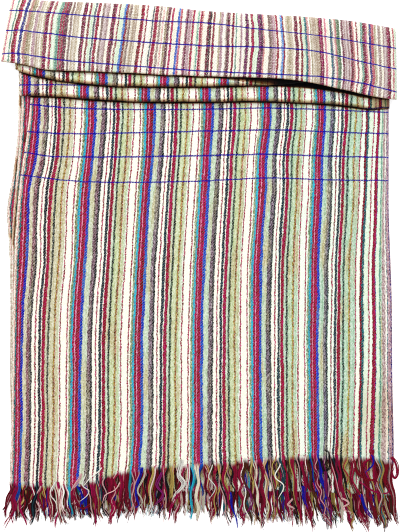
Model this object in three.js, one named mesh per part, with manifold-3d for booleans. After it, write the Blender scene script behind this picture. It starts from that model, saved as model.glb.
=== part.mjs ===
// A hand-woven striped wool stole, folded in half across its length and laid on a flat surface.
// Both fringed ends lie at the near end (-Y). The far end (+Y) is folded over towards the fringes
// as a flap, and two soft folds of the front cloth show under its lip. Millimetres, +Z up.
import * as THREE from "three";
import { mergeVertices } from "three/addons/utils/BufferGeometryUtils.js";
import Module from "manifold-3d";

const wasm = await Module();
wasm.setup();

// Driving sizes.
const cloth = 2; // one thickness of the cloth
const seam = 0.3; // clearance between neighbouring stretches of cloth
const hiddenSeam = 1.6; // the same inside the stack, where the flap's slanted end needs more
const fringeSeam = 0.8; // the same between a woven end and its fringe
const underHeight = 4.6; // the two hidden layers, lying on each other
const grooveDepth = 1.6; // how far the layers part at their side edges
const backTuck = 26; // how far the flap's cloth runs back under the stack at the far end
const flapReturn = 34; // cloth turned back under the flap's lip
const rippleHeight = 1.3; // the front panel's soft ripples
const fringe = {
  frontLocks: 92,
  underLocks: 68,
  stripDepth: 4,
  stripThickness: 1.6,
  lockWidth: 3.8,
  lockThickness: 1.5,
  steps: 4,
};

// Side edges of the three layers from the near end to the far end.
const sideEdges = [
  { y: -366, left: -305, middleLeft: -301, lowestLeft: -303, right: 310, underRight: 307 },
  { y: -278, left: -303, middleLeft: -301, lowestLeft: -303, right: 310, underRight: 308 },
  { y: -182, left: -301, middleLeft: -303, lowestLeft: -304, right: 308, underRight: 305 },
  { y: -54, left: -299, middleLeft: -302, lowestLeft: -304, right: 307, underRight: 304 },
  { y: 30, left: -297, middleLeft: -302, lowestLeft: -306, right: 304, underRight: 302 },
  { y: 90, left: -293, middleLeft: -299, lowestLeft: -309, right: 302, underRight: 300 },
  { y: 147, left: -287, middleLeft: -294, lowestLeft: -300, right: 302, underRight: 299 },
  { y: 214, left: -277, middleLeft: -288, lowestLeft: -292, right: 302, underRight: 299 },
  { y: 262, left: -272, middleLeft: -286, lowestLeft: -291, right: 302, underRight: 299 },
  { y: 330, left: -270, middleLeft: -286, lowestLeft: -290, right: 302, underRight: 299 },
  { y: 400, left: -270, middleLeft: -286, lowestLeft: -290, right: 302, underRight: 299 },
];

// The woven ends: where the front cloth and the cloth under it give way to their fringes.
const wovenEnds = [
  { x: -305, front: -349, under: -361 },
  { x: -245, front: -353, under: -361 },
  { x: -187, front: -351, under: -361 },
  { x: -155, front: -340, under: -361 },
  { x: -75, front: -325, under: -361 },
  { x: 48, front: -315, under: -361 },
  { x: 184, front: -306, under: -362 },
  { x: 255, front: -307, under: -365 },
  { x: 310, front: -313, under: -368 },
];

// The flap: its far rounded edge, its lip, and the height of its crest and of its lip.
const flapRows = [
  { x: -309, back: 426, lip: 326, crest: 31, lipTop: 28 },
  { x: -275, back: 425, lip: 321, crest: 33, lipTop: 28.5 },
  { x: -240, back: 423, lip: 313, crest: 33, lipTop: 28.5 },
  { x: -160, back: 420, lip: 310, crest: 33, lipTop: 28 },
  { x: -80, back: 416, lip: 306, crest: 33, lipTop: 28 },
  { x: 0, back: 408, lip: 302, crest: 32, lipTop: 28 },
  { x: 80, back: 403, lip: 300, crest: 33, lipTop: 28 },
  { x: 160, back: 399, lip: 295, crest: 33, lipTop: 28 },
  { x: 240, back: 392, lip: 278, crest: 32, lipTop: 27 },
  { x: 290, back: 384, lip: 268, crest: 29, lipTop: 23 },
  { x: 313, back: 380, lip: 266, crest: 25, lipTop: 19 },
];
const flapSlant = 9; // the flap's near corners stand out sideways by this much on the left

// The two soft folds: their rounded near edge, how far they stand above what they lie on, and
// the height they lie at.
const upperFoldRows = [
  { x: -306, edge: 317, bulge: 5.6, base: 13.1 },
  { x: -285, edge: 309, bulge: 6, base: 13.1 },
  { x: -224, edge: 296, bulge: 8, base: 13.1 },
  { x: -157, edge: 288, bulge: 9, base: 13.1 },
  { x: -80, edge: 286, bulge: 9, base: 13.1 },
  { x: 0, edge: 286, bulge: 9, base: 13.1 },
  { x: 90, edge: 288, bulge: 8.6, base: 13.1 },
  { x: 150, edge: 291, bulge: 6.6, base: 13.1 },
  { x: 205, edge: 300, bulge: 4.8, base: 13.1 },
];
const lowerFoldRows = [
  { x: -282, edge: 272, bulge: 8, base: 7.4 },
  { x: -224, edge: 270, bulge: 9.5, base: 7.4 },
  { x: -160, edge: 265, bulge: 10.5, base: 7.4 },
  { x: -80, edge: 262, bulge: 11, base: 7.4 },
  { x: 0, edge: 262, bulge: 11, base: 7.4 },
  { x: 90, edge: 263, bulge: 11, base: 7.4 },
  { x: 160, edge: 261, bulge: 10.5, base: 7.4 },
  { x: 208, edge: 258, bulge: 9.5, base: 7.4 },
  { x: 245, edge: 254, bulge: 8, base: 7.4 },
  { x: 276, edge: 250, bulge: 5.4, base: 7.4 },
];
const foldLeafGap = 0.8; // air between a fold's two leaves behind its rounded edge
const upperFoldBack = 372; // the hidden far ends of the two folds
const lowerFoldBack = 350;
const bulgeReach = 24; // how far back from its edge a fold stays puffed

// A column of a table at any place, on a smooth curve through its rows.
function read(rows, along, column, at) {
  const last = rows.length - 1;
  let i = 0;
  while (i < last - 1 && at > rows[i + 1][along]) i++;
  const [a, b] = [rows[i], rows[i + 1]];
  const span = b[along] - a[along];
  const s = THREE.MathUtils.clamp((at - a[along]) / span, 0, 1);
  const slope = (k) => {
    const [p, q] = [rows[Math.max(k - 1, 0)], rows[Math.min(k + 1, last)]];
    return (q[column] - p[column]) / (q[along] - p[along]);
  };
  const rise = b[column] - a[column];
  const [ma, mb] = [slope(i) * span, slope(i + 1) * span];
  return a[column] + s * ma + s * s * (3 * rise - 2 * ma - mb) + s ** 3 * (ma + mb - 2 * rise);
}

// A closed solid from rings of points. Its lid closes both end rings: a list of small polygons,
// each given by its places in the ring and filled from its first corner.
function loft(rings, lid) {
  const size = rings[0].length;
  const last = (rings.length - 1) * size;
  const faces = [];
  for (let start = 0; start < last; start += size) {
    for (let k = 0; k < size; k++) {
      const [a, b] = [start + k, start + ((k + 1) % size)];
      faces.push(a, b, b + size, a, b + size, a + size);
    }
  }
  for (const [a, ...others] of lid) {
    for (let j = 0; j < others.length - 1; j++) {
      const [b, c] = [others[j], others[j + 1]];
      faces.push(a, c, b, last + a, last + b, last + c);
    }
  }
  return outward(rings.flat(), faces);
}

// The lid of a ring whose points run along a line and back again: a piece for each step.
function ladder(size, steps = size / 2 - 1) {
  return Array.from({ length: steps }, (_, k) => [k, k + 1, size - 2 - k, size - 1 - k]);
}

// Geometry with every face turned outwards, whichever way round its rings were drawn.
function outward(points, faces) {
  const volume = (list) => {
    let sum = 0;
    for (let i = 0; i < list.length; i += 3) {
      const [a, b, c] = [points[list[i]], points[list[i + 1]], points[list[i + 2]]];
      sum += a.dot(b.clone().cross(c));
    }
    return sum;
  };
  const list = volume(faces) < 0 ? faces.reverse() : faces;
  const geometry = new THREE.BufferGeometry().setFromPoints(points);
  geometry.setIndex(list);
  geometry.computeVertexNormals();
  return geometry;
}

// A wall of even thickness along a line of points in the (y, z) plane, as one closed ring at x.
function wallRing(x, line, thickness) {
  const near = [];
  const far = [];
  line.forEach((p, i) => {
    const [a, b] = [line[Math.max(i - 1, 0)], line[Math.min(i + 1, line.length - 1)]];
    const side = new THREE.Vector2(b.x - a.x, b.y - a.y).normalize();
    const shift = new THREE.Vector2(-side.y, side.x).multiplyScalar(thickness / 2);
    near.push(new THREE.Vector3(x, p.x + shift.x, p.y + shift.y));
    far.push(new THREE.Vector3(x, p.x - shift.x, p.y - shift.y));
  });
  return [...near, ...far.reverse()];
}

// A smooth line through the given (y, z) places, with two steps from each to the next.
function smoothLine(places) {
  const curve = new THREE.CatmullRomCurve3(
    places.map(([y, z]) => new THREE.Vector3(y, z, 0)),
    false,
    "centripetal",
  );
  return curve.getPoints((places.length - 1) * 2);
}

const stations = (count) => Array.from({ length: count + 1 }, (_, i) => i / count);
const mix = THREE.MathUtils.lerp;

// A repeatable value from 0 to 1 for each whole number.
function scatter(n) {
  const s = Math.sin(n * 127.1 + 11.7) * 43758.5453;
  return s - Math.floor(s);
}

// How high the front cloth's underside lies above the layers under it: soft ripples that run
// with the warp and die away under the folds.
function ripple(x, y) {
  const open = THREE.MathUtils.smoothstep(235 - y, 0, 60);
  const wander = 14 * Math.sin(y / 95) + 6 * Math.sin(y / 41);
  const wave = 0.55 * Math.sin((x + wander) / 17) + 0.45 * Math.sin((x - wander) / 29 + 1.3);
  const reach = 0.55 + 0.45 * Math.sin(x / 83 + y / 120);
  return (rippleHeight * open * reach * (1 + wave)) / 2;
}

// The place on a lying layer at u across and v along it, between its side edges and from its
// woven end to its far end under the flap.
function spotOn(layer, u, v) {
  let [x, y] = [0, 0];
  for (let pass = 0; pass < 4; pass++) {
    const start = read(wovenEnds, "x", layer.end, x);
    y = mix(start, read(flapRows, "x", "back", x) - layer.short, v);
    const [left, right] = [layer.left, layer.right].map((c) => read(sideEdges, "y", c, y));
    x = mix(left, right, u);
  }
  return { x, y };
}

function frontPanel() {
  const layer = { end: "front", short: backTuck + cloth, left: "left", right: "right" };
  const columns = stations(26);
  const rings = stations(18).map((v) => {
    const place = (u, lift) => {
      const { x, y } = spotOn(layer, u, v);
      return new THREE.Vector3(x, y, underHeight + seam + ripple(x, y) + lift);
    };
    const under = columns.map((u) => place(u, 0));
    const over = columns.map((u) => place(u, cloth)).reverse();
    return [...under, ...over];
  });
  return loft(rings, ladder(rings[0].length));
}

// Two hidden layers as one solid: flat below, with a groove between the layers at each side.
// The side outline is a table of insets from the edge, from the underside up.
function underLayers() {
  const columns = stations(10);
  const half = underHeight / 2;
  const sideInset = 3;
  const outline = [
    { layer: "lowestLeft", inset: 0.5, z: 0 },
    { layer: "lowestLeft", inset: 0, z: half * 0.45 },
    { layer: "lowestLeft", inset: 0.5, z: half * 0.85 },
    { layer: "middleLeft", inset: grooveDepth, z: half },
    { layer: "middleLeft", inset: 0.5, z: half * 1.15 },
    { layer: "middleLeft", inset: 0, z: half * 1.55 },
    { layer: "middleLeft", inset: 0.5, z: underHeight },
  ];
  const rings = stations(18).map((v) => {
    const spot = (left, u, inset, z) => {
      const layer = { end: "under", short: backTuck + hiddenSeam, left, right: "underRight" };
      const { x, y } = spotOn(layer, u, v);
      return new THREE.Vector3(x + mix(inset, -inset, u), y, z);
    };
    const side = (u) => outline.map((row) => spot(row.layer, u, row.inset, row.z));
    return [
      ...columns.map((u) => spot("lowestLeft", u, sideInset, 0)),
      ...side(1),
      ...columns.map((u) => spot("middleLeft", u, sideInset, underHeight)).reverse(),
      ...side(0).reverse(),
    ];
  });
  const size = rings[0].length;
  const run = (from, to) => Array.from({ length: to - from + 1 }, (_, i) => from + i);
  const lobes = (before) => {
    const groove = before + (outline.length + 1) / 2;
    const after = before + outline.length + 1;
    return [
      run(before, groove),
      [after % size, ...run(groove, after - 1)],
      [before, groove, after % size],
    ];
  };
  const rowsAcross = 2 * columns.length + outline.length;
  const lid = [
    ...ladder(rowsAcross, columns.length - 1),
    ...lobes(columns.length - 1),
    ...lobes(rowsAcross - 1),
  ];
  return loft(rings, lid);
}

// The far end of the stole: up round the back of the stack, over it, and turned under at the lip.
function flap() {
  const first = flapRows[0].x;
  const last = flapRows.at(-1).x;
  const rings = stations(22).map((u) => {
    const at = mix(first, last, u);
    const [back, lip] = ["back", "lip"].map((c) => read(flapRows, "x", c, at));
    const [crest, lipTop] = ["crest", "lipTop"].map((c) => read(flapRows, "x", c, at));
    const half = cloth / 2;
    const line = smoothLine([
      [back - backTuck, half],
      [back - 13, half + 0.2],
      [back - 3.2, crest * 0.24],
      [back - half, crest * 0.52],
      [back - 5, crest * 0.82],
      [back - 17, crest - half - 0.6],
      [back - 36, crest - half],
      [mix(back, lip, 0.62), mix(crest, lipTop, 0.4) - half],
      [lip + 12, lipTop - half],
      [lip + 3.4, lipTop - 2],
      [lip + half, lipTop - 4.4],
      [lip + 3.6, lipTop - 6.8],
      [lip + 12, lipTop - 7.6],
      [lip + flapReturn, lipTop - 7],
    ]);
    const ring = wallRing(at, line, cloth);
    const slant = (flapSlant * Math.max(0, 0.5 - u)) / 0.5;
    for (const p of ring) {
      p.x -= slant * ((back - p.y) / (back - lip) - 0.5) * 2;
      p.z = Math.max(p.z, 0);
    }
    return ring;
  });
  return loft(rings, ladder(rings[0].length));
}

// A soft hairpin fold of the front cloth: puffed at its near edge, with two leaves behind it.
function softFold(rows, farEnd, count) {
  const rings = stations(count).map((u) => {
    const x = mix(rows[0].x, rows.at(-1).x, u);
    const [edge, bulge, base] = ["edge", "bulge", "base"].map((c) => read(rows, "x", c, x));
    const low = base + cloth / 2;
    const top = base + bulge - cloth / 2;
    const leafTop = low + cloth + foldLeafGap;
    const reach = bulgeReach * (bulge / 11);
    const line = smoothLine([
      [farEnd, leafTop],
      [mix(edge + reach, farEnd, 0.45), leafTop],
      [edge + reach, mix(leafTop, top, 0.12)],
      [edge + reach * 0.62, mix(leafTop, top, 0.78)],
      [edge + reach * 0.34, top],
      [edge + reach * 0.12, mix(low, top, 0.84)],
      [edge + cloth / 2, mix(low, top, 0.5)],
      [edge + reach * 0.1, mix(low, top, 0.16)],
      [edge + reach * 0.32, low],
      [edge + reach, low],
      [farEnd, low],
    ]);
    return wallRing(x, line, cloth);
  });
  return loft(rings, ladder(rings[0].length));
}

// A closed mesh as a solid that can be joined, and back again.
function solidOf(geometry) {
  const bare = new THREE.BufferGeometry();
  bare.setAttribute("position", geometry.getAttribute("position"));
  bare.setIndex(geometry.index);
  const merged = mergeVertices(bare);
  const mesh = new wasm.Mesh({
    numProp: 3,
    vertProperties: merged.attributes.position.array,
    triVerts: new Uint32Array(merged.index.array),
  });
  return new wasm.Manifold(mesh);
}

function geometryOf(solid) {
  const mesh = solid.getMesh();
  const geometry = new THREE.BufferGeometry();
  geometry.setAttribute("position", new THREE.BufferAttribute(mesh.vertProperties, 3));
  geometry.setIndex(new THREE.BufferAttribute(mesh.triVerts, 1));
  geometry.computeVertexNormals();
  return geometry;
}

// One lock of fringe: a three-sided taper along a swaying line that leaves the strip at x.
function lock(x, root, length, sway, heights) {
  const { lockWidth, lockThickness, steps } = fringe;
  const rings = stations(steps).map((t) => {
    const taper = 1 - 0.62 * t ** 1.5;
    const half = (lockWidth / 2) * taper;
    const tall = (lockThickness / 2) * taper;
    const z = mix(heights.root, heights.tip, t ** 3);
    const cx = x + sway.lean * t + sway.wave * Math.sin(t * 4.2 + sway.phase) * t;
    const y = root - length * t;
    return [
      new THREE.Vector3(cx - half, y, z - tall),
      new THREE.Vector3(cx + half, y, z - tall),
      new THREE.Vector3(cx, y, z + tall),
    ];
  });
  return solidOf(loft(rings, [[0, 1, 2]]));
}

// A row of locks, fused at their roots into a narrow strip just off the cloth's woven end.
function fringeRow({ count, column, left, right, heights, reach, seed }) {
  const { stripDepth, stripThickness } = fringe;
  const rootAt = (x) => read(wovenEnds, "x", column, x) - fringeSeam;
  const strip = loft(
    stations(30).map((u) => {
      const x = mix(left, right, u);
      const [top, low] = [heights.root + stripThickness / 2, heights.root - stripThickness / 2];
      const [y0, y1] = [rootAt(x), rootAt(x) - stripDepth];
      return [
        new THREE.Vector3(x, y0, low),
        new THREE.Vector3(x, y1, low),
        new THREE.Vector3(x, y1, top),
        new THREE.Vector3(x, y0, top),
      ];
    }),
    [[0, 1, 2, 3]],
  );
  const pitch = (right - left) / count;
  const locks = Array.from({ length: count }, (_, i) => {
    const x = left + pitch * (i + 0.5);
    const root = rootAt(x) - stripDepth / 2;
    const sway = {
      lean: 13 * Math.sin(x / 58 + seed) + (x / 310) * 4,
      wave: 2.4 * Math.sin(x / 37 + seed),
      phase: x / 90 + seed,
    };
    const end = mix(reach.near, reach.far, scatter(i + seed * 100));
    return lock(x, root, root - end, sway, heights);
  });
  return geometryOf(wasm.Manifold.union([solidOf(strip), ...locks]));
}

const wool = { roughness: 0.9, metalness: 0 };
const paint = {
  front: new THREE.MeshStandardMaterial({ color: 0xb7a184, ...wool }),
  reverse: new THREE.MeshStandardMaterial({ color: 0xc4a596, ...wool }),
  folds: new THREE.MeshStandardMaterial({ color: 0xb09878, ...wool }),
  under: new THREE.MeshStandardMaterial({ color: 0xa8937a, ...wool }),
  fringe: new THREE.MeshStandardMaterial({ color: 0x6e2230, ...wool }),
};

const stole = new THREE.Group();
function add(name, geometry, material) {
  const mesh = new THREE.Mesh(geometry, material);
  mesh.name = name;
  stole.add(mesh);
}

add("under_layers", underLayers(), paint.under);
add("front_panel", frontPanel(), paint.front);
add("fold_lower", softFold(lowerFoldRows, lowerFoldBack, 18), paint.folds);
add("fold_upper", softFold(upperFoldRows, upperFoldBack, 16), paint.folds);
add("flap", flap(), paint.reverse);
add(
  "fringe_front",
  fringeRow({
    count: fringe.frontLocks,
    column: "front",
    left: -303,
    right: 309,
    heights: { root: 6.4, tip: 4.6 },
    reach: { near: -398, far: -420 },
    seed: 1.3,
  }),
  paint.fringe,
);
add(
  "fringe_under",
  fringeRow({
    count: fringe.underLocks,
    column: "under",
    left: -301,
    right: 306,
    heights: { root: 1.9, tip: 1.5 },
    reach: { near: -392, far: -408 },
    seed: 4.1,
  }),
  paint.fringe,
);

// The origin is the middle of the footprint, on the surface that the stole lies on.
const box = new THREE.Box3().setFromObject(stole);
const middle = box.getCenter(new THREE.Vector3());
stole.position.set(-middle.x, -middle.y, -box.min.z);

export default stole;
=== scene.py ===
import math
import bpy
import numpy as np
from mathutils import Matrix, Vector


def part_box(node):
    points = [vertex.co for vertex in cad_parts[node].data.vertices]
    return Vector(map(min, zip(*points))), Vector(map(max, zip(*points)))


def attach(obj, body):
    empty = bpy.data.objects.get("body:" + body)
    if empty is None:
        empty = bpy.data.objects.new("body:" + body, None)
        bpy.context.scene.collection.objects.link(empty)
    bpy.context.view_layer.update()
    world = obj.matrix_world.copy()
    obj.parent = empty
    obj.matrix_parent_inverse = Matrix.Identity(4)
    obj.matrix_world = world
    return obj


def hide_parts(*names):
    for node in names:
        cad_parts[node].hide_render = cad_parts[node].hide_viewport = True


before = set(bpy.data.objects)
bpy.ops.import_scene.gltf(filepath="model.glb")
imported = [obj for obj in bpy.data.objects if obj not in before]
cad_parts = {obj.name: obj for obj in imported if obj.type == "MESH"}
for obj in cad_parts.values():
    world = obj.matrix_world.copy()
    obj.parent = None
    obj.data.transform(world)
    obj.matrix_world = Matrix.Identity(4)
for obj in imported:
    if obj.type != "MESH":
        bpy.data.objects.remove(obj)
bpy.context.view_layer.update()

# The stole lies flat with its fringes towards you (-Y). Sizes here are millimetres on the plan,
# and only the mesh maker turns them into metres.
mm = 0.001
plan = {
    "flapLeftCorner": -318,  # where the flap's near left corner lies on the plan
    "flapFarEdge": 426,  # and its far edge
    "pickPitch": 1.12,  # one weft pick takes this much length
    "endsAcross": 565,  # warp ends from edge to edge
}
flapLow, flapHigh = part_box("flap")
shift = np.array([
    flapLow.x / mm - plan["flapLeftCorner"],
    flapHigh.y / mm - plan["flapFarEdge"],
    0.0,
])
print("frame loaded, plan shifted by", [round(float(s), 2) for s in shift])


def table(names, *rows):
    # the columns of these rows, by name
    return {name: np.array(column, float) for name, column in zip(names.split(), zip(*rows))}


def readAt(rows, name, x):
    return smoothRead(rows["x"], rows[name], x)


def smoothRead(places, values, at):
    # a smooth curve through the values, flat outside the ends
    xs = np.asarray(places, float)
    ys = np.asarray(values, float)
    slope = np.empty_like(ys)
    slope[1:-1] = (ys[2:] - ys[:-2]) / (xs[2:] - xs[:-2])
    slope[0] = (ys[1] - ys[0]) / (xs[1] - xs[0])
    slope[-1] = (ys[-1] - ys[-2]) / (xs[-1] - xs[-2])
    at = np.asarray(at, float)
    i = np.clip(np.searchsorted(xs, at, side="right") - 1, 0, len(xs) - 2)
    span = xs[i + 1] - xs[i]
    s = np.clip((at - xs[i]) / span, 0, 1)
    rise = ys[i + 1] - ys[i]
    a = slope[i] * span
    b = slope[i + 1] * span
    return ys[i] + s * a + s * s * (3 * rise - 2 * a - b) + s ** 3 * (a + b - 2 * rise)


def ease(low, high, value):
    t = np.clip((value - low) / (high - low), 0, 1)
    return t * t * (3 - 2 * t)


def mix(a, b, t):
    return a + (b - a) * t


def softNoise(x, y, seed, cell):
    # smooth random hills from -1 to 1, one about every cell millimetres
    rng = np.random.default_rng(seed)
    cells = 64  # the hills come again after this many cells
    grid = rng.uniform(-1, 1, (cells, cells))
    gx = np.asarray(x, float) / cell + 1000
    gy = np.asarray(y, float) / cell + 1000
    ix = np.floor(gx).astype(int)
    iy = np.floor(gy).astype(int)
    fx = ease(0, 1, gx - ix)
    fy = ease(0, 1, gy - iy)
    left, right = ix % cells, (ix + 1) % cells
    near, far = iy % cells, (iy + 1) % cells
    nearSide = mix(grid[left, near], grid[right, near], fx)
    farSide = mix(grid[left, far], grid[right, far], fx)
    return mix(nearSide, farSide, fy)


def linear(colour):
    # a colour picked on screen, 0 to 255, as the light that it sends back
    c = np.asarray(colour, float) / 255
    return np.where(c <= 0.04045, c / 12.92, ((c + 0.055) / 1.055) ** 2.4)


def makeMesh(name, points, faces, material, threads, extras):
    # threads is where each point lies, counted in threads, and extras are other values kept there
    mesh = bpy.data.meshes.new(name)
    mesh.from_pydata((points + shift) * mm, [], faces)
    layer = mesh.uv_layers.new(name="threads")
    corner = np.empty(len(mesh.loops), np.int32)
    mesh.loops.foreach_get("vertex_index", corner)
    layer.data.foreach_set("uv", threads[corner].astype(np.float32).ravel())
    for title, values in extras.items():
        if values.ndim == 1:
            kept = mesh.attributes.new(title, "FLOAT", "POINT")
            kept.data.foreach_set("value", values.astype(np.float32))
        else:
            kept = mesh.color_attributes.new(title, "FLOAT_COLOR", "POINT")
            kept.data.foreach_set("color", values.astype(np.float32).ravel())
    mesh.polygons.foreach_set("use_smooth", np.ones(len(mesh.polygons), bool))
    mesh.materials.append(material)
    mesh.update()
    piece = bpy.data.objects.new(name, mesh)
    bpy.context.scene.collection.objects.link(piece)
    return piece


def layCloth(name, middle, ends, picks, material, paintedLightShare):
    # a closed thin cloth from the grid of points down its middle. Rows run towards the near end
    # on the side that shows, columns run to the right. The last argument is painted shade, how clear
    # a place is of what hangs over it: 0 paints it dark, deep in the crease, and 1 is in the open.
    rows, columns = middle.shape[:2]
    along = np.gradient(middle, axis=0)
    across = np.gradient(middle, axis=1)
    out = np.cross(along, across)
    out /= np.linalg.norm(out, axis=2, keepdims=True) + 1e-9
    over = middle + out * stack["clothThickness"] / 2
    under = middle - out * stack["clothThickness"] / 2
    for skin in (over, under):
        skin[..., 2] = np.maximum(skin[..., 2], 0.02)  # clear of the surface that it lies on
    count = rows * columns
    o = np.arange(count).reshape(rows, columns)
    u = o + count

    def quads(a, b, c, d):
        return np.stack([a, b, c, d], -1).reshape(-1, 4)

    faces = np.concatenate([
        quads(o[:-1, :-1], o[1:, :-1], o[1:, 1:], o[:-1, 1:]),
        quads(u[:-1, :-1], u[:-1, 1:], u[1:, 1:], u[1:, :-1]),
        quads(o[0, :-1], o[0, 1:], u[0, 1:], u[0, :-1]),
        quads(u[-1, :-1], u[-1, 1:], o[-1, 1:], o[-1, :-1]),
        quads(o[:-1, 0], u[:-1, 0], u[1:, 0], o[1:, 0]),
        quads(o[1:, -1], u[1:, -1], u[:-1, -1], o[:-1, -1]),
    ])
    points = np.concatenate([over.reshape(-1, 3), under.reshape(-1, 3)])
    threads = np.stack([ends.ravel(), picks.ravel()], -1)
    paintedLightShare = np.clip(paintedLightShare, 0, 1).ravel()
    extras = {"paintedLightShare": np.concatenate([paintedLightShare, paintedLightShare])}
    return makeMesh(name, points, faces.tolist(), material, np.concatenate([threads, threads]), extras)


# the dyes as they look on screen, red, green and blue up to 255
dye = {
    "crimson": (174, 4, 78),
    "ruby": (154, 4, 54),
    "maroon": (156, 10, 84),
    "plum": (128, 24, 102),
    "rose": (218, 128, 154),
    "rosy": (228, 179, 178),
    "blue": (22, 88, 200),
    "indigo": (44, 44, 148),
    "navy": (6, 2, 134),
    "sky": (112, 168, 224),
    "cyan": (38, 188, 212),
    "teal": (40, 122, 134),
    "paleTeal": (126, 178, 164),
    "mint": (232, 244, 228),
    "blackTeal": (26, 66, 78),
    "blackBrown": (58, 62, 66),
    "darkOlive": (78, 98, 76),
    "slate": (92, 104, 118),
    "mauve": (150, 128, 142),
    "paleMauve": (207, 179, 188),
    "pinkSpeck": (222, 175, 176),
    "pinkGrey": (207, 188, 188),
    "brownSpeck": (186, 165, 160),
    "sandSpeck": (222, 213, 198),
    "wineSpeck": (144, 70, 98),
    "khaki": (200, 190, 164),
    "sageMint": (150, 176, 150),
    "paleGreen": (214, 227, 208),
    "lime": (216, 225, 192),
    "tan": (174, 184, 146),
    "ochre": (192, 166, 88),
    "rust": (178, 88, 78),
    "white": (250, 250, 240),
    "cream": (250, 248, 239),
    "dash": (176, 24, 80),
    "pinkDash": (232, 166, 196),
    "wine": (126, 4, 30),
    "umber": (84, 44, 24),
    "black": (22, 14, 22),
    "royal": (16, 22, 176),
    "pale": (226, 220, 196),
    "fluff": (238, 222, 218),
    "mist": (206, 238, 246),
}
# yarns spun from mixed wool look speckled, a few dyes show only as dashes between the cream, and
# two of the reds are close yarns that hide the cream picks
speckled = {"mauve", "paleMauve", "pinkSpeck", "pinkGrey", "brownSpeck", "sandSpeck", "wineSpeck",
            "khaki", "blackBrown", "darkOlive", "slate", "rosy", "sageMint", "indigo", "tan", "ochre"}
dashed = {"dash", "rust", "rose"}
mottled = {"paleGreen", "lime", "mint"}
dense = {"crimson", "ruby"}
unevenDyes = ((dashed, 0.0), (speckled, 0.5), (mottled, 0.78), (dense, 0.94))  # 1 is an even dye

# the same stripes where other lots of yarn were used: towards each side, and here and there
otherLots = {
    "left": {
        "lime": (221, 215, 192), "paleGreen": (217, 213, 189), "white": (250, 247, 238),
        "mauve": (160, 108, 122), "tan": (154, 160, 116), "blackBrown": (66, 64, 72),
        "darkOlive": (84, 80, 64), "blackTeal": (38, 44, 56), "blue": (18, 40, 190),
        "crimson": (176, 6, 74),
    },
    "right": {
        "lime": (204, 226, 206), "paleGreen": (200, 223, 205), "white": (242, 251, 240),
        "mauve": (124, 116, 140), "tan": (144, 182, 150), "blackBrown": (58, 82, 84),
        "darkOlive": (68, 104, 92), "ochre": (190, 176, 84), "blue": (20, 70, 204),
    },
    "odd": {
        "lime": (213, 209, 174), "paleGreen": (214, 210, 178), "mauve": (166, 160, 140),
        "crimson": (166, 2, 58), "ochre": (160, 130, 70), "blackBrown": (104, 98, 98),
        "darkOlive": (56, 66, 64), "blue": (70, 136, 206), "sandSpeck": (204, 188, 172),
        "pinkSpeck": (214, 180, 172), "maroon": (112, 10, 66), "cyan": (84, 160, 168),
        "blackTeal": (56, 70, 84),
    },
}


def readChart(text):
    # "crimson 3, cream 2" as a list of dyes and how many ends of each
    return [(name, float(ends)) for name, ends in (item.split() for item in text.split(","))]


leftBorder = readChart(
    "sandSpeck 1, cream 1, rosy 1, sandSpeck 1, teal 2, crimson 3, pinkDash 1, crimson 3, blue 4"
)
warpRepeat = readChart(
    "cyan 3, crimson 3, pinkDash 1, crimson 5, blue 4, paleGreen 7, mauve 5, blackBrown 3, white 4, "
    "dash 2, white 3, blackTeal 4, white 1, crimson 5, paleGreen 3, darkOlive 3, lime 6, ochre 2, "
    "rust 1, lime 3, paleGreen 2, white 1, dash 2, white 8, dash 2, white 2, tan 3"
)
rightBorder = readChart(
    "paleGreen 5, dash 2, white 5, ruby 3, teal 3, mint 6, dash 2, white 4, crimson 5, indigo 1, "
    "mint 5, paleTeal 2, paleGreen 2, pinkGrey 5, cream 2, teal 1, paleMauve 4, navy 1, paleMauve 1"
)
borders = {"repeatStart": -1, "leftEnds": 17, "rightFrom": 506}  # all counted in ends from the left
repeatEnds = sum(ends for name, ends in warpRepeat)

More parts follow.
